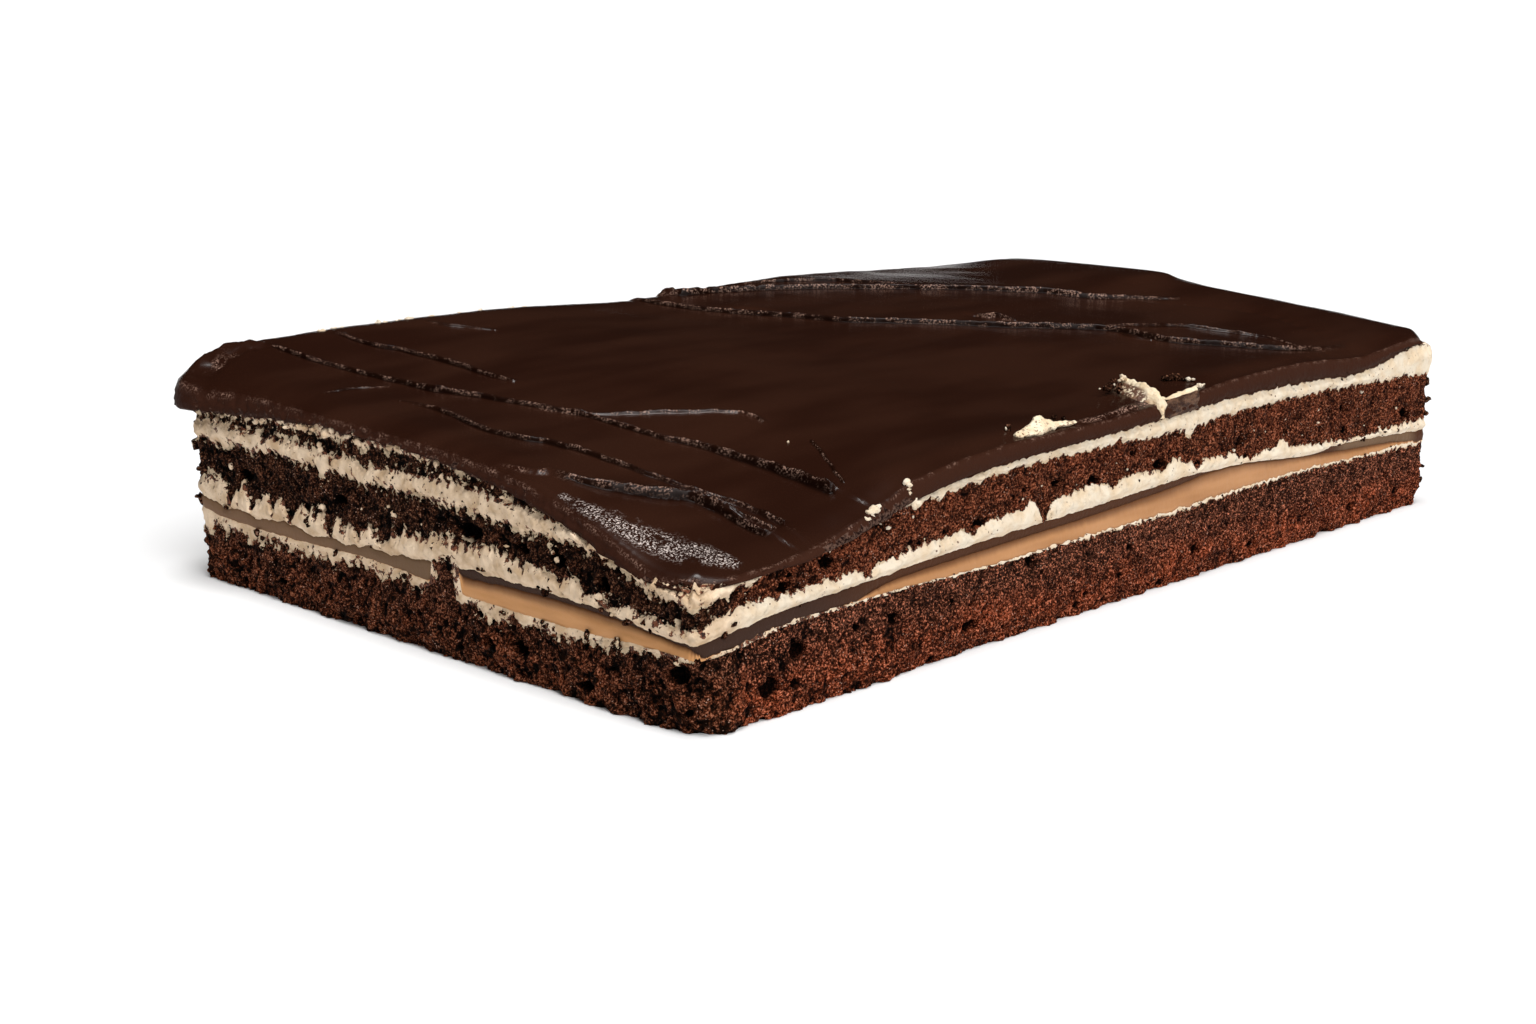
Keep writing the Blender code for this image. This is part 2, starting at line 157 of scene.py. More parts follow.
def plan(node):
    """A CAD node's points in millimetres from the near corner, and its faces."""
    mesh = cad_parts[node].data
    points = np.zeros(len(mesh.vertices) * 3)
    mesh.vertices.foreach_get("co", points)
    points = points.reshape(-1, 3) / MM + (*CENTRE, 0)
    return points, [tuple(face.vertices) for face in mesh.polygons]


def rim_heights(node, edge):
    """The lowest and the highest point of a CAD node's side, at each column of the rim."""
    points, _ = plan(node)
    inside = np.minimum.reduce(
        [points[:, 0], points[:, 1], LENGTH - points[:, 0], WIDTH - points[:, 1]]
    )
    side = points[inside < SIDE_DEEP]
    column = np.argmin(((side[:, None, :2] - edge[None]) ** 2).sum(axis=2), axis=1)
    ranked = np.argsort(column)
    breaks = np.where(np.diff(column[ranked]) > 1.5 / COLUMN)[0] + 1
    groups = np.split(ranked, breaks)
    at = [column[group].mean() for group in groups]
    low = [side[group, 2].min() for group in groups]
    high = [side[group, 2].max() for group in groups]
    every = np.arange(AROUND)
    return np.interp(every, at, low, period=AROUND), np.interp(every, at, high, period=AROUND)


# How uneven each line between two layers is, counted from the lowest: lumps of about 4 mm, then
# grains of about 1.2 mm, then how far the line's own edge stands out of the cut.
LINE_LUMPS = (0.55, 0.15, 0.1, 0.35, 0.8, 0.7, 0.5, 0.6, 0.45)
LINE_GRAINS = (0.5, 0.08, 0.05, 0.15, 0.6, 0.6, 0.45, 0.5, 0.4)
LINE_OUT = (-0.1, -0.2, -0.9, -0.3, -0.1, -0.1, 0.0, 0.0, 0.1)

# The left side is cut across the grain and more ragged than the front.
RAGGED = (0.9, 1.2, 1.2, 1.6)  # front, right, back, left

# Where a line dips or rises by more than that, on each side: distance from the near corner, half
# width and height, in millimetres. A higher one than BLOCK_RISE is a block with steep sides.
BLOCK_RISE = 5.0
LINE_MARKS = {
    0: {"left": (
        (68.6, 3.7, 7.4), (150, 2.0, -2.2), (121, 1.5, 0.9), (96, 2.0, 0.8), (82, 1.6, 1.2),
        (88, 1.8, -1.0), (104, 1.2, -1.0), (133, 1.5, -0.8), (53, 4.0, -1.0),
    )},
    1: {"front": ((158, 90, 0.5), (236, 9, 0.5))},
    2: {"left": ((80, 7.0, -4.5),)},
    3: {"left": (
        (143, 2.2, -0.8), (131, 3.0, -0.7), (121, 1.6, 0.5), (111, 3.0, -0.9), (100, 1.8, -0.7),
        (92, 2.2, 0.4),
    )},
    4: {
        "left": (
            (140.5, 1.4, -4.8), (137.6, 0.8, -2.8), (132.5, 1.3, -4.6), (129.8, 1.4, -2.4),
            (124.6, 0.9, -3.4), (118.4, 1.8, -4.0), (112, 0.8, -1.2), (104.5, 1.6, -4.0),
            (99.8, 0.8, -1.4), (95, 1.0, -2.6), (87, 2.2, -2.6), (80, 0.7, 0.9), (64, 0.8, -1.0),
            (56, 1.2, 1.0), (45, 0.9, -1.2), (33, 1.6, 1.2), (22, 2.0, -1.2), (12, 0.8, 1.0),
        ),
        "front": (
            (42, 1.2, -2.0), (72, 1.8, -1.6), (94, 1.8, -4.0), (117, 2.0, -1.4), (134, 1.4, -1.2),
            (147, 2.0, -1.6), (168, 3.5, -1.6), (181, 2.6, 2.2), (139, 2.0, 1.4), (90, 1.8, 1.2),
            (108, 2.4, 0.8),
        ),
    },
    5: {
        "left": (
            (123, 1.4, 1.2), (106, 1.5, -1.0), (75, 1.2, 1.3), (145, 1.5, -1.0), (138, 1.0, 0.9),
            (92, 1.2, -0.8), (60, 2.0, 0.8),
        ),
        "front": ((62, 1.0, -0.8), (144, 1.6, -1.6), (200, 1.6, 0.9), (118, 1.2, 1.0)),
    },
    6: {"left": ((92, 2.0, -1.4), (126, 1.6, -0.8))},
    8: {"left": ((107, 3.0, 1.0), (80, 2.5, 0.6), (60, 2.0, -0.6))},
}


def by_side(values):
    """A number for each side of the slab, blended round its corners, at each column of the rim."""
    facing = np.stack([-OUTWARD[:, 1], OUTWARD[:, 0], OUTWARD[:, 1], -OUTWARD[:, 0]], axis=1)
    return (np.maximum(facing, 0) ** 2) @ np.array(values)


def layer_lines():
    """Height of the line on top of each layer but the last, at each column of the rim."""
    ragged = by_side(RAGGED)
    below, drawn = np.zeros(AROUND), []
    solid_below = np.zeros(AROUND)
    for k, (under, over) in enumerate(zip(ORDER, ORDER[1:])):
        edge = EDGES[k + 1]
        spots = np.column_stack([edge, np.zeros(AROUND)])
        solid = (rim_heights(under, edge)[1] + rim_heights(over, edge)[0]) / 2
        run_out = 1 - smooth((solid - solid_below - THIN) / 0.8)
        line = run_out * (below + RUN_OUT) + (1 - run_out) * solid
        uneven = LINE_LUMPS[k] * ripple(spots, 3.6, 11 * k)
        fine = ripple(spots, 1.3, 11 * k + 5) + 0.6 * ripple(spots, 0.7, 11 * k + 6)
        uneven += LINE_GRAINS[k] * fine
        uneven *= ragged
        for side, marks in LINE_MARKS.get(k, {}).items():
            for at, half, rise in marks:
                spot = (at, 0) if side == "front" else (0, at)
                away = np.hypot(edge[:, 0] - spot[0], edge[:, 1] - spot[1])
                steep = 6 if abs(rise) > BLOCK_RISE else 2
                line = line + rise * np.exp(-((away / half) ** steep))
        line = line + uneven * (1 - run_out)
        below, solid_below = np.maximum(line, below + RUN_OUT), solid
        drawn.append(below)
    return drawn


# How far each line stands out of the cut. The base sponge bulges at its foot near the near corner.
FOOT_BULGE, BULGE_END = 1.2, 62
LINES = [np.zeros(AROUND), *layer_lines()]
bulge = smooth(EDGE[:, 0] / 6) * smooth((BULGE_END - EDGE[:, 0]) / 20)
LINES_OUT = [FOOT_BULGE * bulge * (EDGE[:, 1] < 8)]
for k, out in enumerate(LINE_OUT):
    rough = 0.05 if k in (1, 2, 3) else 0.3
    LINES_OUT.append(out + rough * ripple(np.column_stack([EDGES[k + 1], LINES[k + 1]]), 2.2, 90 + k))
LINES_OUT[3] = LINES_OUT[3] + 0.7 * (1 - smooth((LINES[3] - LINES[2] - 0.3) / 0.8))
at_right_corner = 1 - smooth(np.hypot(EDGE[:, 0] - LENGTH, EDGE[:, 1]) / 14)
for k, inward in ((8, 0.5), (9, 1.5)):
    LINES_OUT[k] = LINES_OUT[k] - inward * at_right_corner


def cap(bm, loop, node, top):
    """Closes a layer over or under, hidden between its neighbours, along the CAD node's face."""
    points, faces = plan(node)
    surface = BVHTree.FromPolygons([Vector(p) for p in points], faces)
    made = bmesh.ops.create_grid(bm, x_segments=CAP_CELLS[0], y_segments=CAP_CELLS[1], size=0.5)
    far, towards = (1000, -1) if top else (-1000, 1)
    for v in made["verts"]:
        x = CAP_INSET + (v.co.x + 0.5) * (LENGTH - 2 * CAP_INSET)
        y = CAP_INSET + (v.co.y + 0.5) * (WIDTH - 2 * CAP_INSET)
        v.co = surface.ray_cast(Vector((x, y, far)), Vector((0, 0, towards)))[0]
    verts = set(made["verts"])
    border = [e for e in {e for v in verts for e in v.link_edges} if e.is_boundary]
    bmesh.ops.bridge_loops(bm, edges=loop + border)


def wrapped_sheet(rows):
    """A grid as long as the rim and some rows high, with each point's column and height share."""
    bm = bmesh.new()
    bmesh.ops.create_grid(bm, x_segments=AROUND, y_segments=rows, size=0.5)
    flat = np.array([v.co for v in bm.verts])
    return bm, np.rint((flat[:, 0] + 0.5) * AROUND).astype(int) % AROUND, flat[:, 1] + 0.5


def place(bm, points):
    """Moves a sheet's points, and closes it where its two ends meet."""
    for v, point in zip(bm.verts, points):
        v.co = point
    ends = [v for v in bm.verts if v.is_boundary and any(not e.is_boundary for e in v.link_edges)]
    bmesh.ops.remove_doubles(bm, verts=ends, dist=1e-4)


def finished(bm, name, crisp=None):
    """Makes an object of a mesh in millimetres: closed, facing out, in the frame's place."""
    bmesh.ops.triangulate(bm, faces=[f for f in bm.faces if len(f.verts) > 4])
    bmesh.ops.recalc_face_normals(bm, faces=bm.faces)
    for v in bm.verts:
        v.co = ((v.co.x - CENTRE[0]) * MM, (v.co.y - CENTRE[1]) * MM, v.co.z * MM)
    mesh = bpy.data.meshes.new(name)
    bm.to_mesh(mesh)
    bm.free()
    mesh.shade_smooth()
    if crisp:
        mesh.set_sharp_from_angle(angle=math.radians(crisp))
    piece = bpy.data.objects.new(name, mesh)
    bpy.context.scene.collection.objects.link(piece)
    return piece


# Which layers each sponge and cream mixes with along their line, and how far off, in millimetres,
# a point counts as away from every such line.
MIXES_WITH = {0: (1,), 1: (0,), 4: (5,), 5: (4, 6), 6: (5, 7), 7: (6, 8), 8: (7,), 9: (8,)}
FAR_OFF = 9.0
RELIEF_STARTS = 0.9  # how far from a line a layer's relief is at its full depth


def keep(bm, numbers):
    """Keeps a number for each point of a mesh, under each name, for its material."""
    for name, values in numbers.items():
        store = bm.verts.layers.float.new(name)
        for v, value in zip(bm.verts, values):
            v[store] = value


def layer(node, rows, relief, crisp=None):
    """One layer as wide as the slab: its cut side, with relief, and its two hidden faces."""
    k = ORDER.index(node)
    low, high = LINES[k], LINES[k + 1]
    bm, column, share = wrapped_sheet(rows)
    z = low[column] + (high - low)[column] * share
    out = LINES_OUT[k][column] * (1 - share) + LINES_OUT[k + 1][column] * share
    flat = EDGES[k][column] * (1 - share)[:, None] + EDGES[k + 1][column] * share[:, None]
    points = np.column_stack([flat, z])
    to_line = high[column] - z
    if node != "base_sponge":
        to_line = np.minimum(z - low[column], to_line)
    inside = np.minimum(to_line / RELIEF_STARTS, 1)
    lift, hollow = relief(points, share)
    points[:, :2] += OUTWARD[column] * (out + lift * inside)[:, None]
    gap = np.full(len(points), FAR_OFF)
    for near, line, towards in ((k - 1, k, 1), (k + 1, k + 1, -1)):
        if k in MIXES_WITH.get(near, ()):
            off = towards * (z - LINES[line][column])
            if near + 1 < len(LINES):
                run_out = (LINES[near + 1] - LINES[near])[column] < 0.4
                off = off + FAR_OFF * (run_out & (OUTWARD[column][:, 0] > -0.5))
            gap = np.minimum(gap, off)
    keep(bm, {"hollow": hollow, "gap": gap})
    place(bm, points)
    lower, upper = split_loops([e for e in bm.edges if e.is_boundary])
    cap(bm, lower, node, top=False)
    cap(bm, upper, node, top=True)
    return finished(bm, node + "_cut", crisp)


def split_loops(edges):
    """The lower and the upper one of two closed loops of edges."""
    left, found = set(edges), []
    while left:
        run, queue = [], [next(iter(left))]
        left.discard(queue[0])
        while queue:
            edge = queue.pop()
            run.append(edge)
            for v in edge.verts:
                for near in v.link_edges:
                    if near in left:
                        left.discard(near)
                        queue.append(near)
        found.append(run)
    found.sort(key=lambda run: sum(e.verts[0].co.z for e in run) / len(run))
    return found


BASE_SEED = 100  # only this sponge stands on the table, so only its lower edge is worn

# Holes torn in the sponge, on each side: distance from the near corner, height, half width and
# half height.
HOLES = {
    "front": (
        (17, 5.5, 2.0, 1.5), (72.1, 5, 1.9, 0.8), (49.5, 11.2, 1.7, 1.0), (90.9, 14.6, 1.5, 1.2),
        (213.7, 4.5, 1.4, 0.7), (147.7, 6.1, 1.3, 1.0), (170.6, 3.1, 2.0, 0.8),
        (109.3, 3.7, 0.9, 0.7), (24.7, 10.6, 1.8, 1.1), (32.2, 24.6, 1.6, 0.9),
        (73.6, 24.6, 1.8, 0.9), (163.8, 27.5, 0.9, 2.2), (133.4, 27, 1.9, 0.9),
        (109.9, 27.2, 1.7, 0.9), (202.5, 29.2, 1.0, 0.6), (237, 23.9, 2.0, 1.2),
        (20.9, 22.4, 1.8, 0.8), (98, 28.4, 1.5, 0.8),
    ),
    "left": (
        (122.5, 4.7, 1.2, 0.6), (55.4, 5.9, 1.2, 0.8), (46.7, 6.4, 1.8, 1.3), (28.4, 3.3, 1.6, 0.8),
        (5.4, 10.1, 2.2, 1.6), (134.5, 7, 1.2, 1.0), (60, 25.5, 3.0, 1.5), (23.2, 22.8, 1.6, 1.1),
        (135.3, 25, 2.4, 1.2), (100.7, 25.2, 1.8, 1.0), (45.4, 25.3, 1.5, 1.0),
        (34.4, 24.8, 1.3, 1.0),
    ),
    "back": ((60, 6, 1.8, 1.0), (190, 29, 2.0, 1.2), (120, 8, 1.4, 0.9)),
    "right": ((100, 6, 1.7, 1.1), (40, 27, 1.5, 1.2), (125, 28, 1.9, 1.0)),
}
HOLE_DEEP, HOLE_REACH = 2.2, 2.5  # how deep a hole is, and how far in from the cut it is felt

# The crumb's grains and its grit: their size and how far they stand out. Then its small and its
# large pores: how far apart they are, which share is open, half width in that measure, and depth.
GRAIN_SIZE, GRAIN_OUT, GRIT_SIZE, GRIT_OUT = 2.5, 1.3, 1.1, 0.7
PORES = ((3.6, 0.5, 0.2, 1.3), (9.0, 0.5, 0.14, 2.2))
WORN_HIGH = 4.5  # up to this height the base sponge's foot is worn


def sponge_relief(seed):
    """Crumb that stands out and in by a millimetre or two, with pores torn open by the knife."""

    def relief(points, share):
        wave = [ripple(points, 1.5, seed + 31 + k) for k in range(3)]
        bent = points + 0.55 * np.column_stack(wave)
        crumb, _ = grains(bent, GRAIN_SIZE, seed)
        grit, _ = grains(bent, GRIT_SIZE, seed + 7)
        clean = smooth((points[:, 0] - 3) / 8) * (0.5 + 0.5 * smooth((points[:, 0] - 25) / 40))
        coarse = 1 - 0.42 * clean
        lift = 0.6 * ripple(points, 9.0, seed + 3)
        lift += coarse * (GRAIN_OUT * (0.5 - crumb) + GRIT_OUT * (0.45 - grit))
        fine = ripple(points, 0.8, seed + 5)
        lift += 0.35 * fine
        torn = np.zeros(len(points))
        for cell, most, size, deep in PORES:
            pore, number = grains(bent * (1, 1, 1.2), cell, seed + 17 + int(cell))
            wide = size * (0.55 + 0.9 * (number * 7.3 % 1))
            hole = smooth((wide - pore) / 0.06) * (number < most - 0.2 * clean)
            lift -= deep * hole
            torn = np.maximum(torn, hole)
        x, y, z = bent.T
        sides = {"front": (x, y), "left": (y, x), "back": (x, WIDTH - y), "right": (y, LENGTH - x)}
        for side, holes in HOLES.items():
            along, off = sides[side]
            for at, high, wide, tall in holes:
                away = np.hypot((along - at) / wide, (z - high) / tall)
                hole = smooth((1.4 - away) / 0.5) * (np.abs(off) < HOLE_REACH)
                lift -= HOLE_DEEP * hole
                torn = np.maximum(torn, hole)
        if seed == BASE_SEED:
            worn = 1 - smooth(points[:, 2] / WORN_HIGH)
            lift += worn * (1.2 * ripple(points * (1, 1, 0.3), 5.0, seed + 41) - 0.7)
        # How deep a point lies in the crumb, for painted shade in its hollows and torn holes.
        hollow = 0.42 + coarse * (0.8 * (crumb - 0.48) + 0.55 * (grit - 0.45)) - 0.25 * fine
        return lift, np.clip(np.maximum(hollow, torn), 0, 1)

    return relief


class Wire:
    """An output in a material's nodes, with the arithmetic that patterns are written in."""

    def __init__(self, tree, socket=None):
        self.tree, self.socket = tree, socket

    def node(self, kind, settings=None, inputs=None, output=0):
        """Adds a node: its settings come first, then the values or wires of its sockets."""
        made = self.tree.nodes.new("ShaderNode" + kind)
        for name, value in (settings or {}).items():
            if name == "stops":
                ramp = made.color_ramp.elements
                while len(ramp) < len(value):
                    ramp.new(0.5)
                for stop, (at, colour) in zip(ramp, value):
                    stop.position, stop.color = at, (*colour, 1)
            else:
                setattr(made, name, value)
        for name, value in (inputs or {}).items():
            if isinstance(value, Wire):
                self.tree.links.new(value.socket, made.inputs[name])
            elif isinstance(value, tuple) and made.inputs[name].type == "RGBA":
                made.inputs[name].default_value = (*value, 1)
            else:
                made.inputs[name].default_value = value
        return Wire(self.tree, made.outputs[output])

    def math(self, operation, first, second=0.0):
        return self.node("Math", {"operation": operation}, {0: first, 1: second})

    def __add__(self, other):
        return self.math("ADD", self, other)

    __radd__ = __add__

    def __sub__(self, other):
        return self.math("SUBTRACT", self, other)

    def __rsub__(self, other):
        return self.math("SUBTRACT", other, self)

    def __mul__(self, other):
        return self.math("MULTIPLY", self, other)

    __rmul__ = __mul__

    def parts(self):
        """The three numbers of a position, each as a wire."""
        split = self.node("SeparateXYZ", None, {0: self})
        return [Wire(self.tree, socket) for socket in split.socket.node.outputs]

    def between(self, low, high):
        """0 at low and 1 at high, eased, and held there beyond them."""
        ends = {"Value": self, "From Min": low, "From Max": high}
        return self.node("MapRange", {"interpolation_type": "SMOOTHSTEP"}, ends)

    def shade(self, colour, share):
        """The colour where this is 0, and that share of it where it is 1."""
        left = 1 - self * (1 - share)
        grey = self.node("CombineColor", None, {0: left, 1: left, 2: left})
        mixed = {0: 1.0, 6: colour, 7: grey}
        return self.node("Mix", {"data_type": "RGBA", "blend_type": "MULTIPLY"}, mixed, output=2)

    def blend(self, under, over):
        """The colour under where this is 0, and over where it is 1."""
        return self.node("Mix", {"data_type": "RGBA"}, {0: self, 6: under, 7: over}, output=2)

    def noise(self, size, detail=2.0, rough=0.55, squash=None):
        """Cloudy noise from 0 to 1 with lumps of a size in millimetres."""
        at = self
        if squash:
            at = self.node("VectorMath", {"operation": "MULTIPLY"}, {0: self, 1: squash})
        wired = {"Vector": at, "Scale": 1 / (size * MM), "Detail": detail, "Roughness": rough}
        return self.node("TexNoise", {"noise_dimensions": "3D"}, wired)

    def cells(self, size):
        """Distance to the nearest speck, for specks about this many millimetres apart."""
        return self.node("TexVoronoi", None, {"Vector": self, "Scale": 1 / (size * MM)})

    def stored(self, name):
        """The number kept on the mesh's points under a name."""
        return self.node("Attribute", {"attribute_name": name}, output=2)


def material(name):
    """A new material with its shader, and where a point is on the piece, in metres."""
    made = bpy.data.materials.new(name)
    made.use_nodes = True
    tree = made.node_tree
    shader = tree.nodes["Principled BSDF"]
    return made, shader, Wire(tree).node("TexCoord", output=3)


def wire_up(shader, colour, roughness, bumps=(), specular=0.5):
    """Joins colour, roughness and bump to a shader. Each bump is a wire and its height in mm."""
    tree = shader.id_data
    tree.links.new(colour.socket, shader.inputs["Base Color"])
    if isinstance(roughness, Wire):
        tree.links.new(roughness.socket, shader.inputs["Roughness"])
    else:
        shader.inputs["Roughness"].default_value = roughness
    shader.inputs["Specular IOR Level"].default_value = specular
    normal = None
    for pattern, height in bumps:
        wired = {"Height": pattern, "Distance": height * MM, "Strength": 1.0}
        if normal:
            wired["Normal"] = normal
        normal = pattern.node("Bump", None, wired)
    if normal:
        tree.links.new(normal.socket, shader.inputs["Normal"])


def left_side(at, full=-0.119, gone=-0.108):
    """1 on the slab's left side, and 0 further right than that, in metres."""
    return 1 - at.parts()[0].between(full, gone)


def torn_edge(at):
    """How far, in millimetres, cream reaches into sponge along their line: below 0, the reverse."""
    left = left_side(at, -0.121, -0.115)
    return (at.noise(1.8, 4.0, 0.62) - 0.5) * (left * 8.0 + 4.0)


def sponge_finish(name, dark, body, brown, bright, left_soaked_and_shaded=None):
    """Moist chocolate crumb, with painted shade in its pores and crevices, darker patches, bright grains
    partly painted as highlights, and painted glints.
    """
    made, shader, at = material(name)
    left = left_side(at)
    # The left side takes darker colours, partly painted shade of the less lit side.
    if left_soaked_and_shaded:
        pairs = zip((dark, body, brown, bright), left_soaked_and_shaded)
        dark, body, brown, bright = (left.blend(dry, soaked) for dry, soaked in pairs)
    hollow = at.stored("hollow")
    grit = at.noise(0.42, 3.0, 0.7)
    crumb = at.noise(2.2, 4.0, 0.68)
    baked = at.parts()[2] + 0.006 * at.noise(9.0, 2.0)
    colour = baked.between(0.007, 0.016).blend(body, brown)
    colour = at.noise(12.0, 2.0).between(0.38, 0.62).shade(colour, 0.65)
    colour = at.noise(4.5, 2.0).between(0.42, 0.60).shade(colour, 0.55)
    # Bright grains, partly painted highlights on the crumb.
    colour = grit.between(0.53, 0.66).blend(colour, bright)
    # Dark patches and specks of painted shade in the crumb's crevices, stronger on the left side.
    colour = ((1 - crumb.between(0.40, 0.50)) * (0.55 + 0.45 * left)).blend(colour, dark)
    colour = (1 - at.noise(1.1, 3.0, 0.7).between(0.38, 0.50)).shade(colour, 0.35)
    colour = (1 - grit.between(0.43, 0.53)).blend(colour, dark)
    # Painted glints on moist crumbs.
    painted_glints = 1 - at.cells(0.75).between(0.10, 0.22)
    colour = (painted_glints * at.noise(3.0, 2.0).between(0.5, 0.62)).blend(colour, (0.60, 0.36, 0.27))
    # Painted shade in the pores and torn holes.
    colour = hollow.between(0.45, 0.8).shade(colour, 0.03)
    smear = (torn_edge(at) - at.stored("gap")).between(-0.08, 0.08)
    colour = smear.blend(colour, hollow.between(0.5, 0.9).blend(CREAM_SHADE, body))
    rough = 0.8 - 0.2 * at.noise(0.6).between(0.48, 0.66)
    bumps = (at.noise(0.7, 4.0, 0.75), 0.6), (at.noise(0.3, 2.0), 0.3)
    wire_up(shader, colour, rough, bumps, specular=0.03)
    return made


CREAM, CREAM_SHADE = (0.82, 0.71, 0.56), (0.74, 0.575, 0.39)
# The painted shade of the sponge's crevices, its redder foot, its browner top and its bright grains, partly
# painted highlights.
SPONGE = ((0.011, 0.003, 0.001), (0.35, 0.068, 0.024), (0.150, 0.052, 0.030), (0.84, 0.28, 0.150))
# Darker colours for the left side, partly painted shade of the less lit side and partly soaked crumb.
LEFT_SPONGE = ((0.009, 0.003, 0.001), (0.22, 0.055, 0.022), (0.15, 0.048, 0.026), (0.50, 0.20, 0.11))
sponge = sponge_finish("chocolate_sponge", *SPONGE, left_soaked_and_shaded=LEFT_SPONGE)
base_sponge = layer("base_sponge", 38, sponge_relief(BASE_SEED), crisp=65)
base_sponge.data.materials.append(sponge)
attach(base_sponge, "root")
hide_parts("base_sponge")

# ---------------------------------------------------------------------------------------------
# Upper sponge: the second sponge, baked like the base and laid on the middle cream. It is squeezed
# between the creams, so it is wetter and darker; on the left side it is darker still, partly as painted
# shade.
upper_sponge = layer("upper_sponge", 26, sponge_relief(200), crisp=65)
# WET_SPONGE is darker; as the upper sponge's left side it is partly painted shade.
UPPER_SPONGE = ((0.012, 0.003, 0.001), (0.25, 0.060, 0.024), (0.23, 0.058, 0.026), (0.58, 0.20, 0.10))
WET_SPONGE = ((0.006, 0.002, 0.001), (0.085, 0.027, 0.013), (0.085, 0.027, 0.013), (0.30, 0.14, 0.08))
soaked_sponge = sponge_finish("soaked_sponge", *UPPER_SPONGE, left_soaked_and_shaded=WET_SPONGE)
upper_sponge.data.materials.append(soaked_sponge)
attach(upper_sponge, "root")
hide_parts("upper_sponge")

# ---------------------------------------------------------------------------------------------
# Top sponge: a thin soaked sheet of sponge, laid on the top cream under the ganache. It shows on
# the left side only and has run out elsewhere.
top_sponge = layer("top_sponge", 6, sponge_relief(300), crisp=65)
wet_sponge = sponge_finish("wet_sponge", *WET_SPONGE)
top_sponge.data.materials.append(wet_sponge)
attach(top_sponge, "root")
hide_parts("top_sponge")

# ---------------------------------------------------------------------------------------------
# Creams: whipped white mousse between the sponges. The knife has dragged it and left it lumpy,
# with small burst bubbles and cocoa crumb in it.
BUBBLES_APART = 2.6
# The left side's cream: warmer as painted shade of the less lit side, and more soiled.
LEFT_SHADED_CREAM, LEFT_SHADED_SOILED_CREAM = (0.80, 0.62, 0.44), (0.54, 0.37, 0.22)  # warmer and more soiled
CRUMB_CELLS = (0.6, 3.0, 0.65)  # size, detail and roughness of the noise in stuck crumb


def cream_relief(seed, bulge):
    """A soft bulge between two lines, with drag marks and burst bubbles."""

    def relief(points, share):
        drag = points * (0.45, 0.45, 1.0)
        bubble, number = grains(points, BUBBLES_APART, seed + 4)
        burst = smooth((0.1 + 0.14 * (number * 5.7 % 1) - bubble) / 0.08) * (number < 0.45)
        lift = bulge * (1 - (2 * share - 1) ** 2) + 0.4 * ripple(drag, 2.4, seed)
        lumps = ripple(points, 1.2, seed + 9)
        lift = lift + 0.25 * lumps + 0.1 * ripple(points, 0.6, seed + 3)
        return lift - 0.6 * burst, np.clip(0.3 - 0.4 * lumps + 0.6 * burst, 0, 1)

    return relief


def stuck_crumb(at, dark, bright):
    """The colour of sponge crumb that sticks to another layer."""
    return at.noise(*CRUMB_CELLS).between(0.4, 0.62).blend(dark, bright)


def cream_finish(name, body, shade):
    """White mousse with cocoa specks and painted shade in its dents, soiled by crumb along its lines with
    the sponge.
    """
    made, shader, at = material(name)
    left = left_side(at)
    # On the left side, warmer as painted shade, and more soiled.
    body, shade = left.blend(body, LEFT_SHADED_CREAM), left.blend(shade, LEFT_SHADED_SOILED_CREAM)
    hollow = at.stored("hollow")
    colour = at.noise(4.0, 3.0).between(0.35, 0.7).blend(body, shade)
    # Painted shade in low lumps and burst bubbles.
    colour = hollow.between(0.35, 0.9).shade(colour, 0.6)
    dots = (1 - at.cells(1.1).between(0.12, 0.24)) * at.noise(6.0).between(0.5, 0.62)
    colour = dots.blend(colour, (0.11, 0.045, 0.022))
    crumb = (0 - torn_edge(at) - at.stored("gap")).between(-0.08, 0.08)
    colour = crumb.blend(colour, stuck_crumb(at, (0.020, 0.006, 0.003), (0.20, 0.065, 0.030)))
    bumps = (at.noise(1.1, 3.0, 0.65), 0.5), (at.noise(0.4, 2.0), 0.15)
    wire_up(shader, colour, 0.6, bumps, specular=0.25)
    return made


cream = cream_finish("white_mousse", CREAM, CREAM_SHADE)
for node, rows, bulge, seed in (
    ("lower_cream", 6, 0.3, 400), ("middle_cream", 10, 0.7, 500),
    ("top_cream", 12, 0.8, 600), ("cream_fringe", 6, 0.3, 700),
):
    piece = layer(node, rows, cream_relief(seed, bulge), crisp=65)
    piece.data.materials.append(cream)
    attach(piece, "root")
    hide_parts(node)

# ---------------------------------------------------------------------------------------------
# Caramel: a lens of soft set caramel, poured over the lower cream and thickest in the middle of the
# front. It is cut clean, so it is smooth and satin, with painted shade towards its top under the mousse.


def smeared_relief(seed, bulge):
    """A smooth face with faint streaks along it; how high a point is goes with it as hollow, which the
    caramel reads as painted shade under the layer above.
    """

    def relief(points, share):
        drag = points * (0.12, 0.12, 1.0)
        lift = bulge * (1 - (2 * share - 1) ** 2) + 0.12 * ripple(drag, 1.4, seed)
        return lift, share

    return relief


STREAKED = (0.15, 0.15, 1.0)  # draws a pattern out along the cut
caramel = layer("caramel", 8, smeared_relief(800, 0.1))
made, shader, at = material("caramel")
streaks = at.noise(5.0, 3.0, squash=STREAKED).between(0.3, 0.7)
left = left_side(at)
deep = left.blend((0.39, 0.180, 0.069), (0.52, 0.25, 0.095))
pale = left.blend((0.51, 0.255, 0.112), (0.68, 0.35, 0.150))
colour = streaks.blend(deep, pale)
# Painted shade towards the top, under the mousse's overhang.
under = at.stored("hollow") + 0.4 * at.noise(6.0, 2.0, squash=STREAKED) - 0.2
colour = under.between(0.45, 1.0).blend(colour, (0.17, 0.070, 0.030))
wire_up(shader, colour, 0.42, ((at.noise(0.8), 0.08),), specular=0.15)
caramel.data.materials.append(made)
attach(caramel, "root")
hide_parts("caramel")

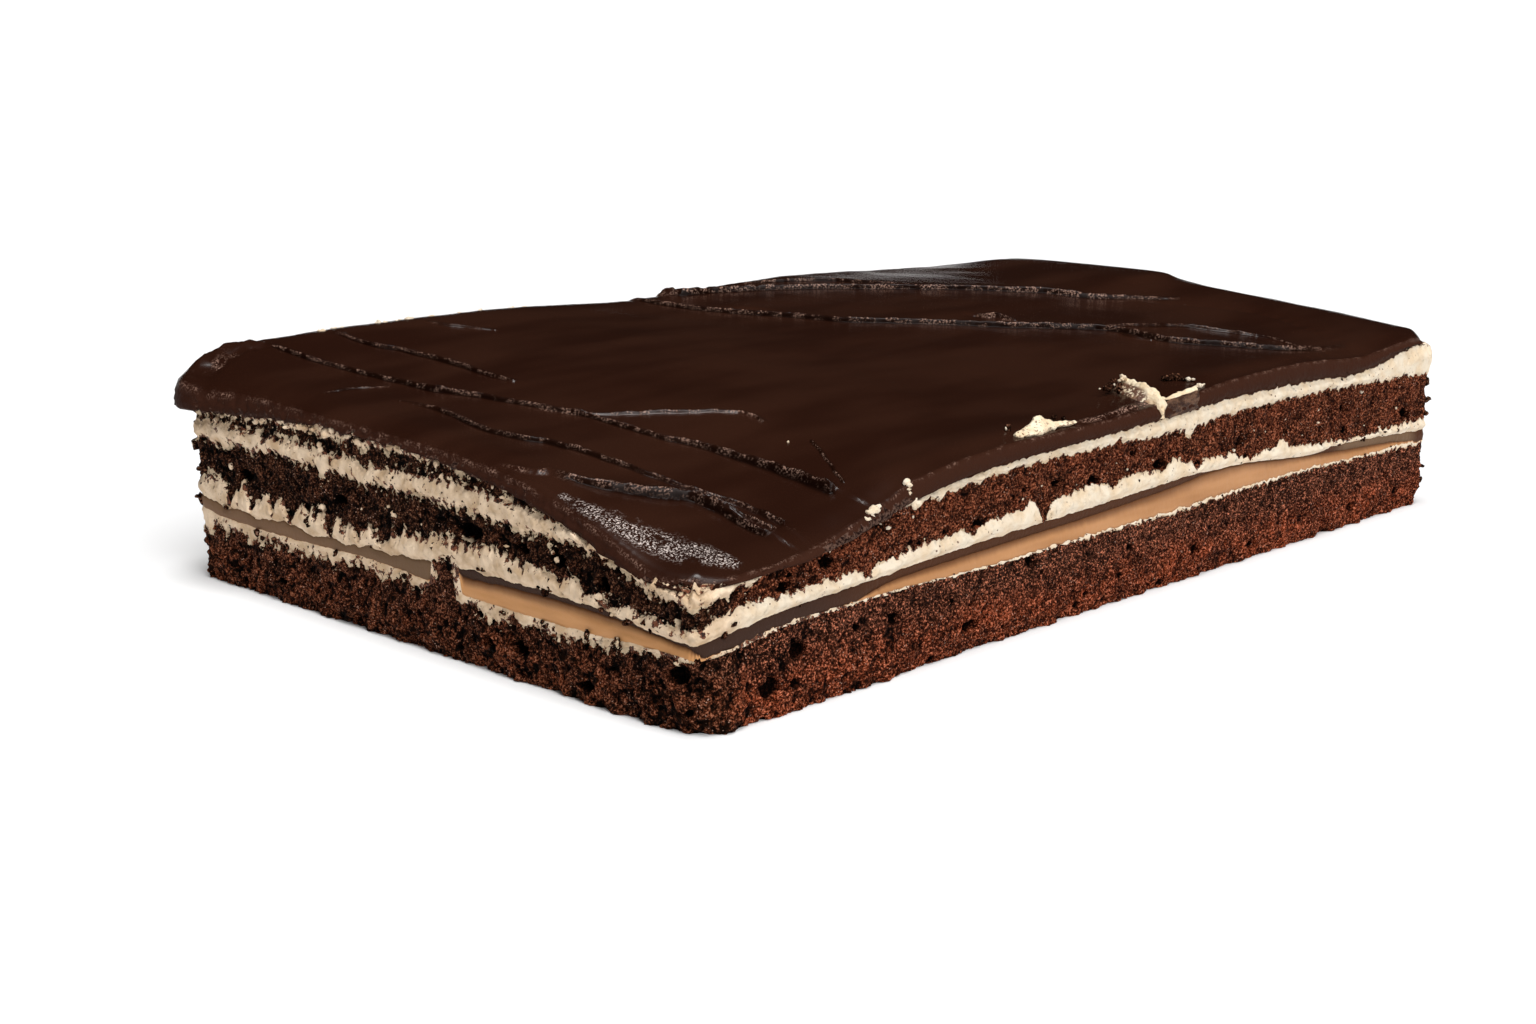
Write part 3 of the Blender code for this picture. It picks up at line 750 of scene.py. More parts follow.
# ---------------------------------------------------------------------------------------------
# Chocolate mousse: a thin set layer, spread over the caramel. It is dark brown, and greyer where
# the cream has mixed into it.
mousse = layer("chocolate_mousse", 5, smeared_relief(900, 0.15))
made, shader, at = material("chocolate_mousse")
place_x, place_y, _ = at.parts()
left_grey = left_side(at, -0.116, -0.106) * place_y.between(-0.013, -0.009)
lens_grey = place_x.between(0.080, 0.088) * (1 - place_x.between(0.116, 0.122))
lens_grey = lens_grey * (1 - place_y.between(-0.074, -0.070))
back_grey = place_y.between(0.060, 0.068) * at.noise(60.0, 0.0).between(0.42, 0.5)
mixed = at.math("MAXIMUM", at.math("MAXIMUM", left_grey, lens_grey), back_grey)
brown = place_x.between(-0.10, -0.07).blend((0.046, 0.024, 0.017), (0.074, 0.030, 0.015))
grey = place_y.between(-0.013, 0.045).blend((0.165, 0.100, 0.058), (0.192, 0.110, 0.063))
wire_up(shader, mixed.blend(brown, grey), 0.5, ((at.noise(0.8), 0.15),), specular=0.03)
mousse.data.materials.append(made)
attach(mousse, "root")
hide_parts("chocolate_mousse")

# ---------------------------------------------------------------------------------------------
# Ganache: chocolate ganache spread over the top with a knife, cut with the slab, so it has a
# rounded rim, a band down the sides, an overhang at the far left corner and the knife's ridges.
GANACHE_TOPS = (
    ((0, 10, 20, 32, 45, 56, 80, 110, 140, 160, 190, 215, 240, 250),
     (27.4, 28.2, 28.6, 30.4, 34.0, 37.6, 39.9, 40.3, 41.6, 43.0, 43.2, 41.6, 43.8, 42.4)),
    ((0, 10, 25, 45, 65, 90, 120, 145, 155), (27.4, 29.2, 34.6, 39.6, 41.8, 42.8, 43.8, 46.0, 47.0)),
    ((0, 12, 30, 60, 85, 125, 190, 250), (47.2, 50.2, 51.0, 51.2, 50.8, 48.6, 49.4, 46.4)),
    ((0, 10, 40, 66, 74, 80, 90, 105, 120, 135, 155),
     (42.8, 44.4, 47.0, 49.2, 50.4, 52.2, 53.2, 53.4, 52.6, 50.6, 46.4)),
)
GANACHE_RADII = (11.0, 10.0, 8.0, 11.0)
SHOULDER_DROP, SHOULDER_IN = 1.2, 6.0
LEFT_LIP, RIGHT_BARE, LIP_REACH = 6.4, 0.6, 28.0
BAND_ROWS, ROLL_ROWS, ROLL_IN, SHEET_IN = 11, 8, 4.5, 6.5
SHEET_CELL = 1.65
MARK_REACHES = (2.8, 1.7, 0.85)  # this near to a mark the cells are halved, one time after another
BURR = 0.16  # the knife leaves a fine torn edge along the top of the cut
RIM_COARSE = (0, 0, 0.3, 0.9)  # how lumpy the band is: front, right, back, left
STEP_FADES_OVER = 40.0
SOFT_TOP, TOP_ROOM = 49.8, 0.8  # lumps above this flatten within that much, under the full height

# The knife's marks: how broken each one's lip is, which sets its painted glints, then its route. Each
# point has its plan position, the lip's height and half width, and the height of the step up to its
# left. A height below 0 is a groove.
KNIFE_MARKS = {
    "near_fold": (0.68, (
        (1.5, 52, 0.1, 0.5, 0.06), (2.4, 46.0, 0.5, 0.6, 0.18), (6.0, 41.3, 0.5, 0.6, 0.36),
        (9.7, 35.0, 0.7, 0.8, 0.6), (15.2, 30.1, 0.9, 1.1, 0.7), (22.2, 24.6, 0.9, 1.0, 0.7),
        (23.5, 18.4, 0.9, 0.7, 0.66), (23.3, 9.5, 0.6, 0.5, 0.54), (24.0, 5.6, 0.5, 0.5, 0.3),
    )),
    "near_fold_strand": (0.6, (
        (22.4, 23, 0.2, 0.4, 0), (24.6, 15, 0.7, 0.45, 0), (25.0, 9, 0.8, 0.5, 0), (25.4, 6.4, 0.7, 0.5, 0),
    )),
    "second_lip": (0.6, (
        (13.3, 98, 0.25, 0.4, 0.08), (15.1, 87.6, 0.5, 0.4, 0.16), (12.7, 72.1, 0.6, 0.45, 0.2),
        (13.6, 64.2, 0.6, 0.5, 0.2), (18, 55.1, 0.7, 0.5, 0.2), (19.8, 42.7, 0.6, 0.45, 0.2),
        (21.5, 34.3, 0.6, 0.4, 0.16), (24.4, 24.4, 0.55, 0.4, 0.12), (27.2, 17.1, 0.7, 0.45, 0.12),
        (28.2, 9.7, 0.9, 0.5, 0.12), (28.1, 6.2, 1.0, 0.55, 0.08),
    )),
    "third_lip": (0.65, (
        (17.2, 148.9, 0.4, 0.5, 0.16), (18.2, 139.9, 0.5, 0.5, 0.2), (19.3, 130.5, 0.5, 0.5, 0.2),
        (22.7, 110.8, 0.55, 0.5, 0.24), (23.9, 100.7, 0.9, 0.6, 0.24), (27.7, 91, 0.6, 0.5, 0.24),
        (32, 76, 0.55, 0.5, 0.24), (35, 66.1, 0.45, 0.45, 0.2), (36.4, 49.1, 0.55, 0.45, 0.24),
        (38.9, 42.1, 0.65, 0.5, 0.28), (41.1, 29.7, 0.9, 0.65, 0.36), (42.7, 17.2, 1.1, 0.85, 0.4),
        (43.2, 10.2, 1.3, 1.0, 0.32),
    )),
    "third_lip_branch": (0.7, (
        (31, 76.4, 0.25, 0.4, 0.02), (36.2, 66, 0.4, 0.4, 0.04), (46.3, 58.3, 0.6, 0.5, 0.06),
        (56, 48.2, 0.45, 0.4, 0.06), (57.2, 43.1, 0.5, 0.45, 0.02), (56.1, 40.0, 0.4, 0.5, 0),
    )),
    "fourth_lip": (0.6, (
        (33.2, 150.5, 0.3, 0.5, 0.12), (34.8, 137.5, 0.5, 0.5, 0.2), (37.7, 131.1, 0.55, 0.5, 0.2),
        (39, 121.6, 0.6, 0.5, 0.2), (39.5, 116, 0.7, 0.65, 0.2), (39.1, 102, 0.5, 0.5, 0.16),
        (39.4, 95, 0.4, 0.5, 0.08),
    )),
    "fifth_lip": (0.4, (
        (56.5, 146, 0.2, 0.6, 0.08), (58.9, 140.8, 0.5, 0.5, 0.12), (64.5, 132, 0.3, 0.5, 0.04),
    )),
    "rim_burr": (1, (
        (99, 2.2, 0.3, 0.4, 0), (105, 1.6, 1.0, 0.4, 0), (112, 1.2, 0.8, 0.4, 0), (119, 1.2, 1.2, 0.5, 0),
        (125, 1.2, 1.0, 0.5, 0), (130, 1.6, 0.3, 0.4, 0),
    )),
    "left_roll": (0.05, (
        (-6, 139, 1.2, 1.8, 0), (-3.5, 148, 2.3, 2.4, 0), (2.5, 153.5, 2.5, 2.4, 0), (9, 154, 2.2, 2.2, 0),
        (14, 152, 1.2, 1.8, 0), (17, 149.5, 0.3, 1.2, 0),
    )),
    "left_groove": (0, (
        (-3.5, 140.5, -0.5, 0.9, 0), (1.5, 146.5, -1.3, 1.1, 0), (7.5, 149.3, -1.1, 1.0, 0),
        (14, 148.5, -0.6, 0.9, 0),
    )),
    "left_glint": (1, (
        (2.2, 148.4, 0.1, 0.8, 0), (4.2, 149.8, 0.7, 1.1, 0), (6.8, 150.6, 0.7, 1.1, 0),
        (9.2, 150.7, 0.1, 0.8, 0),
    )),
    "left_dent": (0, ((16.5, 153, -0.9, 2.0, 0), (16.8, 149.5, -0.5, 1.4, 0))),
    "left_nick": (0.7, (
        (5, 115, 0.1, 0.35, 0.1), (12.6, 113.3, 0.22, 0.35, 0.16), (18.5, 109.5, 0.2, 0.35, 0),
    )),
    "scratch": (0.5, ((55.1, 26, 0.5, 0.35, 0), (52.9, 21.7, 0.4, 0.3, 0), (46.2, 9.8, 0.4, 0.3, 0))),
    "long_step": (0.7, (
        (124.5, 153, 0.3, 0.8, 0.17), (124.2, 143.3, 0.5, 0.8, 0.35), (125, 131.6, 0.5, 0.7, 0.42),
        (129.2, 119, 0.6, 0.7, 0.45), (134.4, 107.3, 0.6, 0.6, 0.49), (138.2, 94.6, 0.6, 0.5, 0.49),
        (143.6, 86.7, 0.6, 0.5, 0.52), (156.6, 73, 0.6, 0.5, 0.52), (168.5, 58.6, 0.7, 0.65, 0.52),
        (179.6, 47.3, 0.7, 0.8, 0.49), (181, 30.7, 0.8, 0.8, 0.39), (189.7, 17.4, 0.8, 0.7, 0.32),
        (197, 9.5, 0.8, 0.8, 0.24), (206, 6.5, 0.7, 0.9, 0.14), (215.2, 6.0, 0.3, 0.8, 0.03),
    )),
    "long_step_branch": (0.4, (
        (180, 48.5, 0.4, 0.6, 0.08), (190, 43.5, 0.6, 0.6, 0.16), (199.3, 39.1, 0.6, 0.6, 0.16),
        (203.7, 31.5, 0.6, 0.7, 0.12), (206.8, 20.3, 0.5, 0.7, 0.08), (204.8, 11.8, 0.3, 0.7, 0),
    )),
    "long_step_tear": (0, ((178.3, 42.7, 0.4, 0.4, 0), (177, 39, 0.6, 0.5, 0), (178.0, 33.7, 0.4, 0.4, 0))),
    "far_step": (0.85, (
        (134.5, 158, 1.4, 0.9, 0.8), (137.5, 148, 1.2, 0.9, 0.7), (147, 145.5, 0.9, 1.0, 0.52),
        (160, 139, 0.7, 1.1, 0.52),
        (172.5, 128.5, 0.6, 1.1, 0.52), (181, 117.5, 0.6, 0.9, 0.52), (197, 95, 0.6, 0.8, 0.52),
        (204.7, 85.1, 0.8, 0.7, 0.48), (209.5, 77, 0.8, 0.7, 0.4), (219.6, 68.8, 0.5, 0.8, 0.28),
        (229, 61, 0.2, 0.9, 0.12),
    )),
    "far_step_upper": (0.7, (
        (160, 148, 0.3, 0.7, 0.1), (171.2, 143.5, 0.5, 0.6, 0.28), (179.5, 136, 0.5, 0.6, 0.28),
        (182.8, 126.9, 0.4, 0.6, 0.21), (187.5, 115.8, 0.2, 0.7, 0.07),
    )),
    "far_hollow": (0, (
        (222, 60, -0.5, 3.0, 0), (229, 45, -0.8, 3.0, 0), (229, 30, -0.8, 2.6, 0), (220, 12, -0.5, 2.4, 0),
    )),
    "back_gouge": (0, ((131, 125, -0.4, 1.0, 0), (133.5, 119, -1.1, 1.2, 0), (135.8, 112, -0.4, 1.0, 0))),
    "dab": (1, ((166.6, 75, 0.5, 0.8, 0), (167.8, 71, 1.1, 0.9, 0), (168.3, 66, 0.4, 0.8, 0))),
    "dab_hollow": (0, ((164.5, 77.5, -0.5, 0.8, 0), (165.2, 75.5, -0.9, 0.9, 0))),
    "right_rim_lumps": (0.5, (
        (243.5, 109, 0.3, 1.4, 0), (245.0, 105.5, 0.9, 1.4, 0), (244, 102, 0.2, 1.4, 0),
    )),
    "right_rim_bump": (0, ((246, 91.5, 0.3, 1.4, 0), (246.5, 89, 0.7, 1.4, 0), (246, 87, 0.3, 1.2, 0))),
}


def curve_heights(places, heights, at):
    """Heights on a smooth curve through those given along a side."""
    places, heights = np.array(places, float), np.array(heights, float)
    slope = np.gradient(heights) / np.gradient(places)
    i = np.clip(np.searchsorted(places, at) - 1, 0, len(places) - 2)
    width = (places[1:] - places[:-1])[i]
    t = np.clip((at - places[i]) / width, 0, 1)
    rise = (heights[1:] - heights[:-1])[i]
    bend_in, bend_out = slope[i] * width - rise, slope[i + 1] * width - rise
    return heights[i] + rise * t + t * (1 - t) * ((1 - t) * bend_in - t * bend_out)


def route_points(route, steps=6):
    """A smooth curve through a knife mark's points."""
    ends = [np.array(p, float) for p in (route[0], *route, route[-1])]
    points = []
    for b, a, c, d in zip(ends, ends[1:], ends[2:], ends[3:]):
        for k in range(steps):
            t = k / steps
            bend, twist = 2 * b - 5 * a + 4 * c - d, 3 * a - b - 3 * c + d
            points.append((2 * a + (c - b) * t + bend * t**2 + twist * t**3) / 2)
    points.append(ends[-1])
    return np.array(points)


def off_route(points, x, y):
    """Signed distance from a route, above 0 on its left, and the mark's numbers there."""
    best = np.full(len(x), 1e9)
    signed, values = np.zeros(len(x)), np.zeros((len(x), points.shape[1] - 2))
    for a, b in zip(points, points[1:]):
        dx, dy = b[:2] - a[:2]
        t = np.clip(((x - a[0]) * dx + (y - a[1]) * dy) / (dx * dx + dy * dy), 0, 1)
        off_x, off_y = x - a[0] - t * dx, y - a[1] - t * dy
        away = np.hypot(off_x, off_y)
        closer = away < best
        best = np.where(closer, away, best)
        signed = np.where(closer, np.where(off_y * dx - off_x * dy > 0, away, -away), signed)
        values = np.where(closer[:, None], a[2:] + t[:, None] * (b - a)[2:], values)
    return signed, values


ROUTES = {name: (broken, route_points(route)) for name, (broken, route) in KNIFE_MARKS.items()}


def knife_marks(x, y):
    """How far the knife's marks lift the ganache at each plan position, how much painted glint its
    broken lip gets there, and how much it is the dull flank of a step or lip, with painted shade."""
    lift, broken, flank = np.zeros(len(x)), np.zeros(len(x)), np.zeros(len(x))
    spots = np.column_stack([x, y, np.zeros(len(x))])
    ragged = 1 + 0.3 * ripple(spots, 2.6, 31) + 0.12 * ripple(spots, 1.0, 32)
    wander = 0.3 * ripple(spots, 4.0, 33) + 0.05 * ripple(spots, 1.4, 34)
    for crumbly, route in ROUTES.values():
        near = (
            (x > route[:, 0].min() - STEP_FADES_OVER) & (x < route[:, 0].max() + STEP_FADES_OVER)
            & (y > route[:, 1].min() - STEP_FADES_OVER) & (y < route[:, 1].max() + STEP_FADES_OVER)
        )
        off, values = off_route(route, x[near], y[near])
        off = off + wander[near]
        high, half, step = values.T
        spread = np.where(off > 0, 1.5 * half, np.maximum(0.36 * half, 0.24))
        lip = high * ragged[near] * np.exp(-((off / spread) ** 2))
        foot = 0.2 * np.maximum(high, 0) * np.exp(-(((off + 1.3 * half) / (0.8 * half)) ** 2))
        wide = 0.12 + 0.1 * half + 1.2 * np.maximum(crumbly - 0.6, 0)
        line = np.exp(-(((off + 0.05) / wide) ** 2))
        broken[near] = np.maximum(broken[near], crumbly * line * np.clip(high / 0.4, 0, 1))
        below = np.exp(-(((off + 0.12 + 0.5 * half) / (0.2 + 0.45 * half)) ** 2))
        on_step = below * np.clip((step - 0.07) / 0.12, 0, 1)
        on_lip = 0.6 * np.exp(-((off / spread) ** 2)) * np.clip(high / 0.3, 0, 1)
        flank[near] = np.maximum(flank[near], np.maximum(on_step, on_lip))
        foot_in = 1 - np.clip((off + 0.7 * half) / (0.8 * half), 0, 1)
        rise = step * (1 - foot_in**2) * (1 - smooth(off / STEP_FADES_OVER))
        lift[near] += lip - foot + rise
    return lift, broken, flank


# Near the front left corner the ganache has dried to a fine crinkle: its route on plan, with half
# its width, and how high it stands.
CRINKLE_ROUTE = (
    (1.5, 35.0, 0.8), (2.2, 28.0, 1.8), (3.4, 22.0, 2.8), (5.2, 16.0, 3.6), (7.4, 10.5, 4.2),
    (9.6, 6.0, 3.4), (11.5, 3.0, 1.8),
)
CRINKLE_HIGH = 0.22


def crinkled(x, y):
    """How far the ganache has dried to a crinkle at each plan position, from 0 to 1."""
    off, values = off_route(np.array(CRINKLE_ROUTE), x, y)
    return 1 - smooth((np.abs(off) / values[:, 0] - 0.5) / 0.6)


def crest(x, y):
    """Top of the ganache at each plan position."""
    edge = np.minimum.reduce([x, y, LENGTH - x, WIDTH - y])
    edge = np.maximum(edge, 0)
    cx, cy = np.clip(x, 0, LENGTH), np.clip(y, 0, WIDTH)
    away = [np.maximum(d, 0.01) for d in (cy, cx, WIDTH - cy, LENGTH - cx)]
    along = (cx, cy, cx, cy)
    total = sum(1 / d for d in away)
    sides = zip(GANACHE_TOPS, along, away)
    top = sum(curve_heights(*side, at) / d for side, at, d in sides) / total
    shoulder = SHOULDER_DROP * (1 - smooth(edge / SHOULDER_IN))
    spots = np.column_stack([x, y, np.zeros(len(x))])
    spread = 0.12 * ripple(spots * (1, 0.35, 1), 9.0, 41) + 0.05 * ripple(spots * (1, 0.3, 1), 2.5, 42)
    spread += CRINKLE_HIGH * crinkled(x, y) * (ripple(spots, 0.75, 43) + 0.5 * ripple(spots, 0.45, 44))
    z = top - shoulder + knife_marks(x, y)[0] * smooth(edge / SHOULDER_IN + 0.4) + spread
    over = np.maximum(z - SOFT_TOP, 0)
    return np.minimum(z, SOFT_TOP) + TOP_ROOM * (1 - np.exp(-over / TOP_ROOM))


def ganache_band():
    """The ganache's cut band and its rolled rim, closed below, and the edges left open on top."""
    k = ORDER.index("ganache")
    bm, column, share = wrapped_sheet(BAND_ROWS + ROLL_ROWS)
    row = np.rint(share * (BAND_ROWS + ROLL_ROWS))
    up = np.clip(row / BAND_ROWS, 0, 1)
    inward = ROLL_IN * np.clip((row - BAND_ROWS) / ROLL_ROWS, 0, 1) ** 1.6
    outline, facing = rim(GANACHE_RADII, RUNS)
    outline, facing = outline[column], facing[column]
    from_far_left = np.hypot(outline[:, 0], outline[:, 1] - WIDTH)
    from_right = np.hypot(outline[:, 0] - LENGTH, outline[:, 1])
    from_near = np.hypot(outline[:, 0], outline[:, 1])
    lip = LEFT_LIP * (1 - smooth(from_far_left / LIP_REACH))
    bare = RIGHT_BARE * (1 - smooth(from_right / LIP_REACH))
    stand = 0.5 + lip - bare
    rim_round = 0.8 + 2.6 * (1 - smooth(from_far_left / 34))
    rim_round += 1.2 * by_side((0, 0.5, 1, 1))[column] + 1.6 * bare / RIGHT_BARE
    foot = EDGES[k][column] + OUTWARD[column] * LINES_OUT[k][column][:, None]
    bared = np.maximum(1 - smooth((from_right - 8) / 16), 1 - smooth((from_near - 7) / 5))[:, None]
    foot = foot * (1 - bared) + (outline - facing * (bare[:, None] + 0.2)) * bared
    spots = np.column_stack([outline, np.zeros(len(up))])
    wavy = 0.3 * ripple(spots, 7.0, 51) + 0.05 * ripple(spots, 2.0, 52)
    rim_out = stand + wavy + 0.5 * np.sin(math.pi * up)
    side = outline + facing * rim_out[:, None]
    leave = smooth(up / 0.35)[:, None]
    side = foot * (1 - leave) + side * leave
    inner = outline - facing * ROLL_IN
    share_in = (inward / ROLL_IN)[:, None]
    flat = side * (1 - share_in) + inner * share_in
    top = crest(flat[:, 0], flat[:, 1])
    level = np.maximum(rim_round - inward, 0)
    rounding = rim_round - np.sqrt(np.maximum(rim_round**2 - level**2, 0))
    low = LINES[k][column]
    edge_top = np.maximum(top - rim_round, low + 0.6)
    rolled = top - np.minimum(rounding, top - edge_top)
    in_band = row <= BAND_ROWS
    z = np.where(in_band, low + (edge_top - low) * up, rolled)
    points = np.column_stack([flat, z])
    coarse = 0.05 + 0.3 * by_side(RIM_COARSE)[column]
    grain = coarse * (ripple(points, 1.5, 53) + 0.6 * ripple(points, 0.8, 52))
    points[:, :2] += facing * np.where(in_band, grain * smooth((row - 0.5) / 2), 0)[:, None]
    burr = np.exp(-(((row - BAND_ROWS - 1) / 1.1) ** 2))
    points[:, 2] += BURR * burr * np.clip(0.6 + 1.2 * ripple(spots, 1.1, 54), 0, 2)

    # Painted glints along the burr at the top of the cut.
    burr_glints = 0.5 * burr**3 * smooth(0.5 + ripple(spots, 3.0, 55))
    bare_rim = smooth((outline[:, 0] - 27) / 4) * smooth((57 - outline[:, 0]) / 4)
    bare_rim *= outline[:, 1] < 5
    left_rim = (facing[:, 0] < -0.5) * (0.6 + 0.4 * smooth((outline[:, 1] - 25) / 20))
    off_line = np.maximum(0.7 * (z - low), 0) + FAR_OFF * (row > BAND_ROWS)
    keep(bm, {
        "cut_face": 1 - smooth((row - BAND_ROWS) / 2),
        "crinkle": crinkled(flat[:, 0], flat[:, 1]),
        "broken": np.maximum(burr_glints, knife_marks(flat[:, 0], flat[:, 1])[1]),
        "flank": np.zeros(len(row)),
        "gap": off_line + 2.0 - 3.6 * bare_rim - 1.9 * left_rim,
    })
    place(bm, points)
    lower, upper = split_loops([e for e in bm.edges if e.is_boundary])
    cap(bm, lower, "ganache", top=False)
    return bm, upper


def ganache_sheet():
    """The spread top inside the rolled rim, with the knife's marks."""
    long, wide = LENGTH - 2 * SHEET_IN, WIDTH - 2 * SHEET_IN
    cells = round(long / SHEET_CELL), round(wide / SHEET_CELL)
    sheet = bmesh.new()
    bmesh.ops.create_grid(sheet, x_segments=cells[0], y_segments=cells[1], size=0.5)
    flat = np.array([v.co for v in sheet.verts])
    x, y = rounded_sheet((flat[:, 0] + 0.5), (flat[:, 1] + 0.5))
    for v, px, py in zip(sheet.verts, x, y):
        v.co = (px, py, 0)
    refine_at_marks(sheet)
    x, y = np.array([v.co for v in sheet.verts]).T[:2]
    for v, height in zip(sheet.verts, crest(x, y)):
        v.co.z = height
    _, broken, flank = knife_marks(x, y)
    keep(sheet, {
        "cut_face": np.zeros(len(x)), "crinkle": crinkled(x, y), "broken": broken, "flank": flank,
        "gap": np.full(len(x), FAR_OFF),
    })
    mesh = bpy.data.meshes.new("sheet")
    sheet.to_mesh(mesh)
    sheet.free()
    return mesh


def build_ganache():
    """The band and the sheet, joined along the inner edge of the rolled rim."""
    bm, upper = ganache_band()
    before = set(bm.edges)
    bm.from_mesh(ganache_sheet())
    border = [e for e in bm.edges if e.is_boundary and e not in before]
    bmesh.ops.bridge_loops(bm, edges=upper + border)
    return finished(bm, "ganache_top", crisp=75)


def rounded_sheet(u, w):
    """The inner sheet's plan points: an inset rectangle with its corners rounded."""
    long, wide = LENGTH - 2 * SHEET_IN, WIDTH - 2 * SHEET_IN
    x, y = u * long, w * wide
    radii = np.maximum(np.array(GANACHE_RADII) - SHEET_IN + 1, 1.5)
    near_end, on_left = y < wide / 2, x < long / 2
    r = np.where(near_end, np.where(on_left, *radii[:2]), np.where(on_left, radii[3], radii[2]))
    a = np.maximum(1 - np.minimum(x, long - x) / r, 0)
    b = np.maximum(1 - np.minimum(y, wide - y) / r, 0)
    corner = (a > 0) & (b > 0)
    in_x, in_y = r * (1 - a * np.sqrt(1 - b * b / 2)), r * (1 - b * np.sqrt(1 - a * a / 2))
    new_x = np.where(x < long / 2, in_x, long - in_x)
    new_y = np.where(y < wide / 2, in_y, wide - in_y)
    return np.where(corner, new_x, x) + SHEET_IN, np.where(corner, new_y, y) + SHEET_IN


def refine_at_marks(sheet):
    """Cuts the sheet's cells finer along the knife's marks."""
    for reach in MARK_REACHES:
        edges = [e for e in sheet.edges if not e.is_boundary]
        middle = np.array([(e.verts[0].co + e.verts[1].co) / 2 for e in edges])
        near = np.zeros(len(edges), bool)
        for _, route in ROUTES.values():
            off, _ = off_route(route, middle[:, 0], middle[:, 1])
            near |= np.abs(off) < reach
        near |= crinkled(middle[:, 0], middle[:, 1]) > 0.1
        chosen = [e for e, close in zip(edges, near) if close]
        bmesh.ops.subdivide_edges(sheet, edges=chosen, cuts=1, use_grid_fill=True)
        bmesh.ops.triangulate(sheet, faces=[f for f in sheet.faces if len(f.verts) > 4])


SPREAD_WAY = (1.0, 0.3, 1.0)  # the knife's strokes ran from the back to the front
ganache = build_ganache()
made, shader, at = material("ganache")
tone = at.noise(26.0, 2.0, squash=(0.5, 1.4, 1.0)).between(0.35, 0.65)
cut = at.stored("cut_face")
crinkle = at.stored("crinkle")
broken = at.stored("broken")
flank = at.stored("flank")
# Painted shade on the flanks and lips of the knife's marks.
colour = flank.shade(tone.blend((0.0185, 0.0056, 0.0029), (0.0290, 0.0100, 0.0054)), 0.25)
cut_colour = left_side(at, -0.122, -0.112).blend((0.039, 0.0142, 0.0082), (0.030, 0.0106, 0.0062))
colour = cut.blend(colour, cut_colour)
fine = at.noise(0.4, 3.0, 0.7)
patchy = at.noise(2.4, 2.0).between(0.41, 0.55)
# Painted glints along the broken lips, in dashes.
colour = (broken * patchy * fine.between(0.51, 0.58)).blend(colour, (0.47, 0.28, 0.21))
# Painted sparkle on the dried crinkle.
painted_sparkle = crinkle * fine.between(0.535, 0.58)
colour = (painted_sparkle * at.noise(4.0, 2.0).between(0.34, 0.52)).blend(colour, (0.74, 0.63, 0.58))
crumb = (torn_edge(at) - at.stored("gap")).between(-0.1, 0.1)
colour = crumb.blend(colour, stuck_crumb(at, (0.010, 0.004, 0.003), (0.105, 0.058, 0.042)))
smudge = at.noise(12.0, 3.0, squash=SPREAD_WAY)
rough = 0.17 + 0.12 * smudge + 0.35 * cut
wire_up(shader, colour, rough, (
    (fine * crinkle, 0.4), (fine * broken, 0.2), (at.noise(3.0, 2.0, squash=SPREAD_WAY), 0.08),
    (at.noise(0.9, 3.0, 0.7) * cut, 0.25),
), specular=0.02)
coat = 0.42 * (1 - cut) * (1 - flank)
shader.id_data.links.new(coat.socket, shader.inputs["Coat Weight"])
shader.inputs["Coat Roughness"].default_value = 0.2
ganache.data.materials.append(made)
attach(ganache, "root")
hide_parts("ganache")

# ---------------------------------------------------------------------------------------------
# Smears: cream that the knife dragged up over the front edge, one standing up as a wave with its
# arm along the rim, and a smaller one. Each has the direction it is wide in, how sharp its crest is,
# and stations along it: place, half width and half thickness.
ROUND, STEPS = 30, 12
SMEARS = {
    "cream_curl": ((0.8, -0.6, 0), 0.7, (
        (134.6, 14.0, 41.3, 0.5, 0.4), (134.8, 12.4, 41.4, 1.8, 1.7), (134.4, 9.8, 41.3, 2.6, 2.2),
        (133.0, 7.0, 41.1, 3.0, 2.4), (131.6, 4.2, 40.9, 3.3, 2.5), (131.2, 2.4, 40.5, 3.4, 2.3),
        (131.0, 0.8, 39.7, 2.8, 1.7), (131.3, -0.2, 38.3, 1.8, 0.9), (131.7, -0.5, 36.9, 1.0, 0.4),
    )),
    "cream_lip": ((0, 1, 0), 0.3, (
        (134.4, 1.2, 40.4, 0.6, 0.5), (136.4, 0.8, 40.3, 0.8, 0.45), (139.5, 0.7, 40.5, 0.9, 0.45),
        (143.0, 0.7, 40.8, 0.8, 0.5), (145.4, 0.8, 41.0, 0.7, 0.45), (146.6, 0.9, 40.9, 0.3, 0.25),
    )),
    "cream_smear": ((0, 1, 0), 0.6, (
        (86.4, 1.8, 39.3, 0.6, 0.4), (88.0, 1.8, 39.4, 1.3, 0.8), (90.5, 1.9, 39.5, 1.8, 1.1),
        (92.8, 2.2, 39.6, 2.0, 1.5), (94.6, 2.5, 39.7, 1.8, 2.5), (96.0, 2.5, 39.7, 1.7, 2.0),
        (98.0, 2.2, 39.7, 1.4, 0.9), (101.0, 1.7, 39.6, 0.9, 0.45), (105, 1.4, 39.7, 0.5, 0.3),
    )),
}


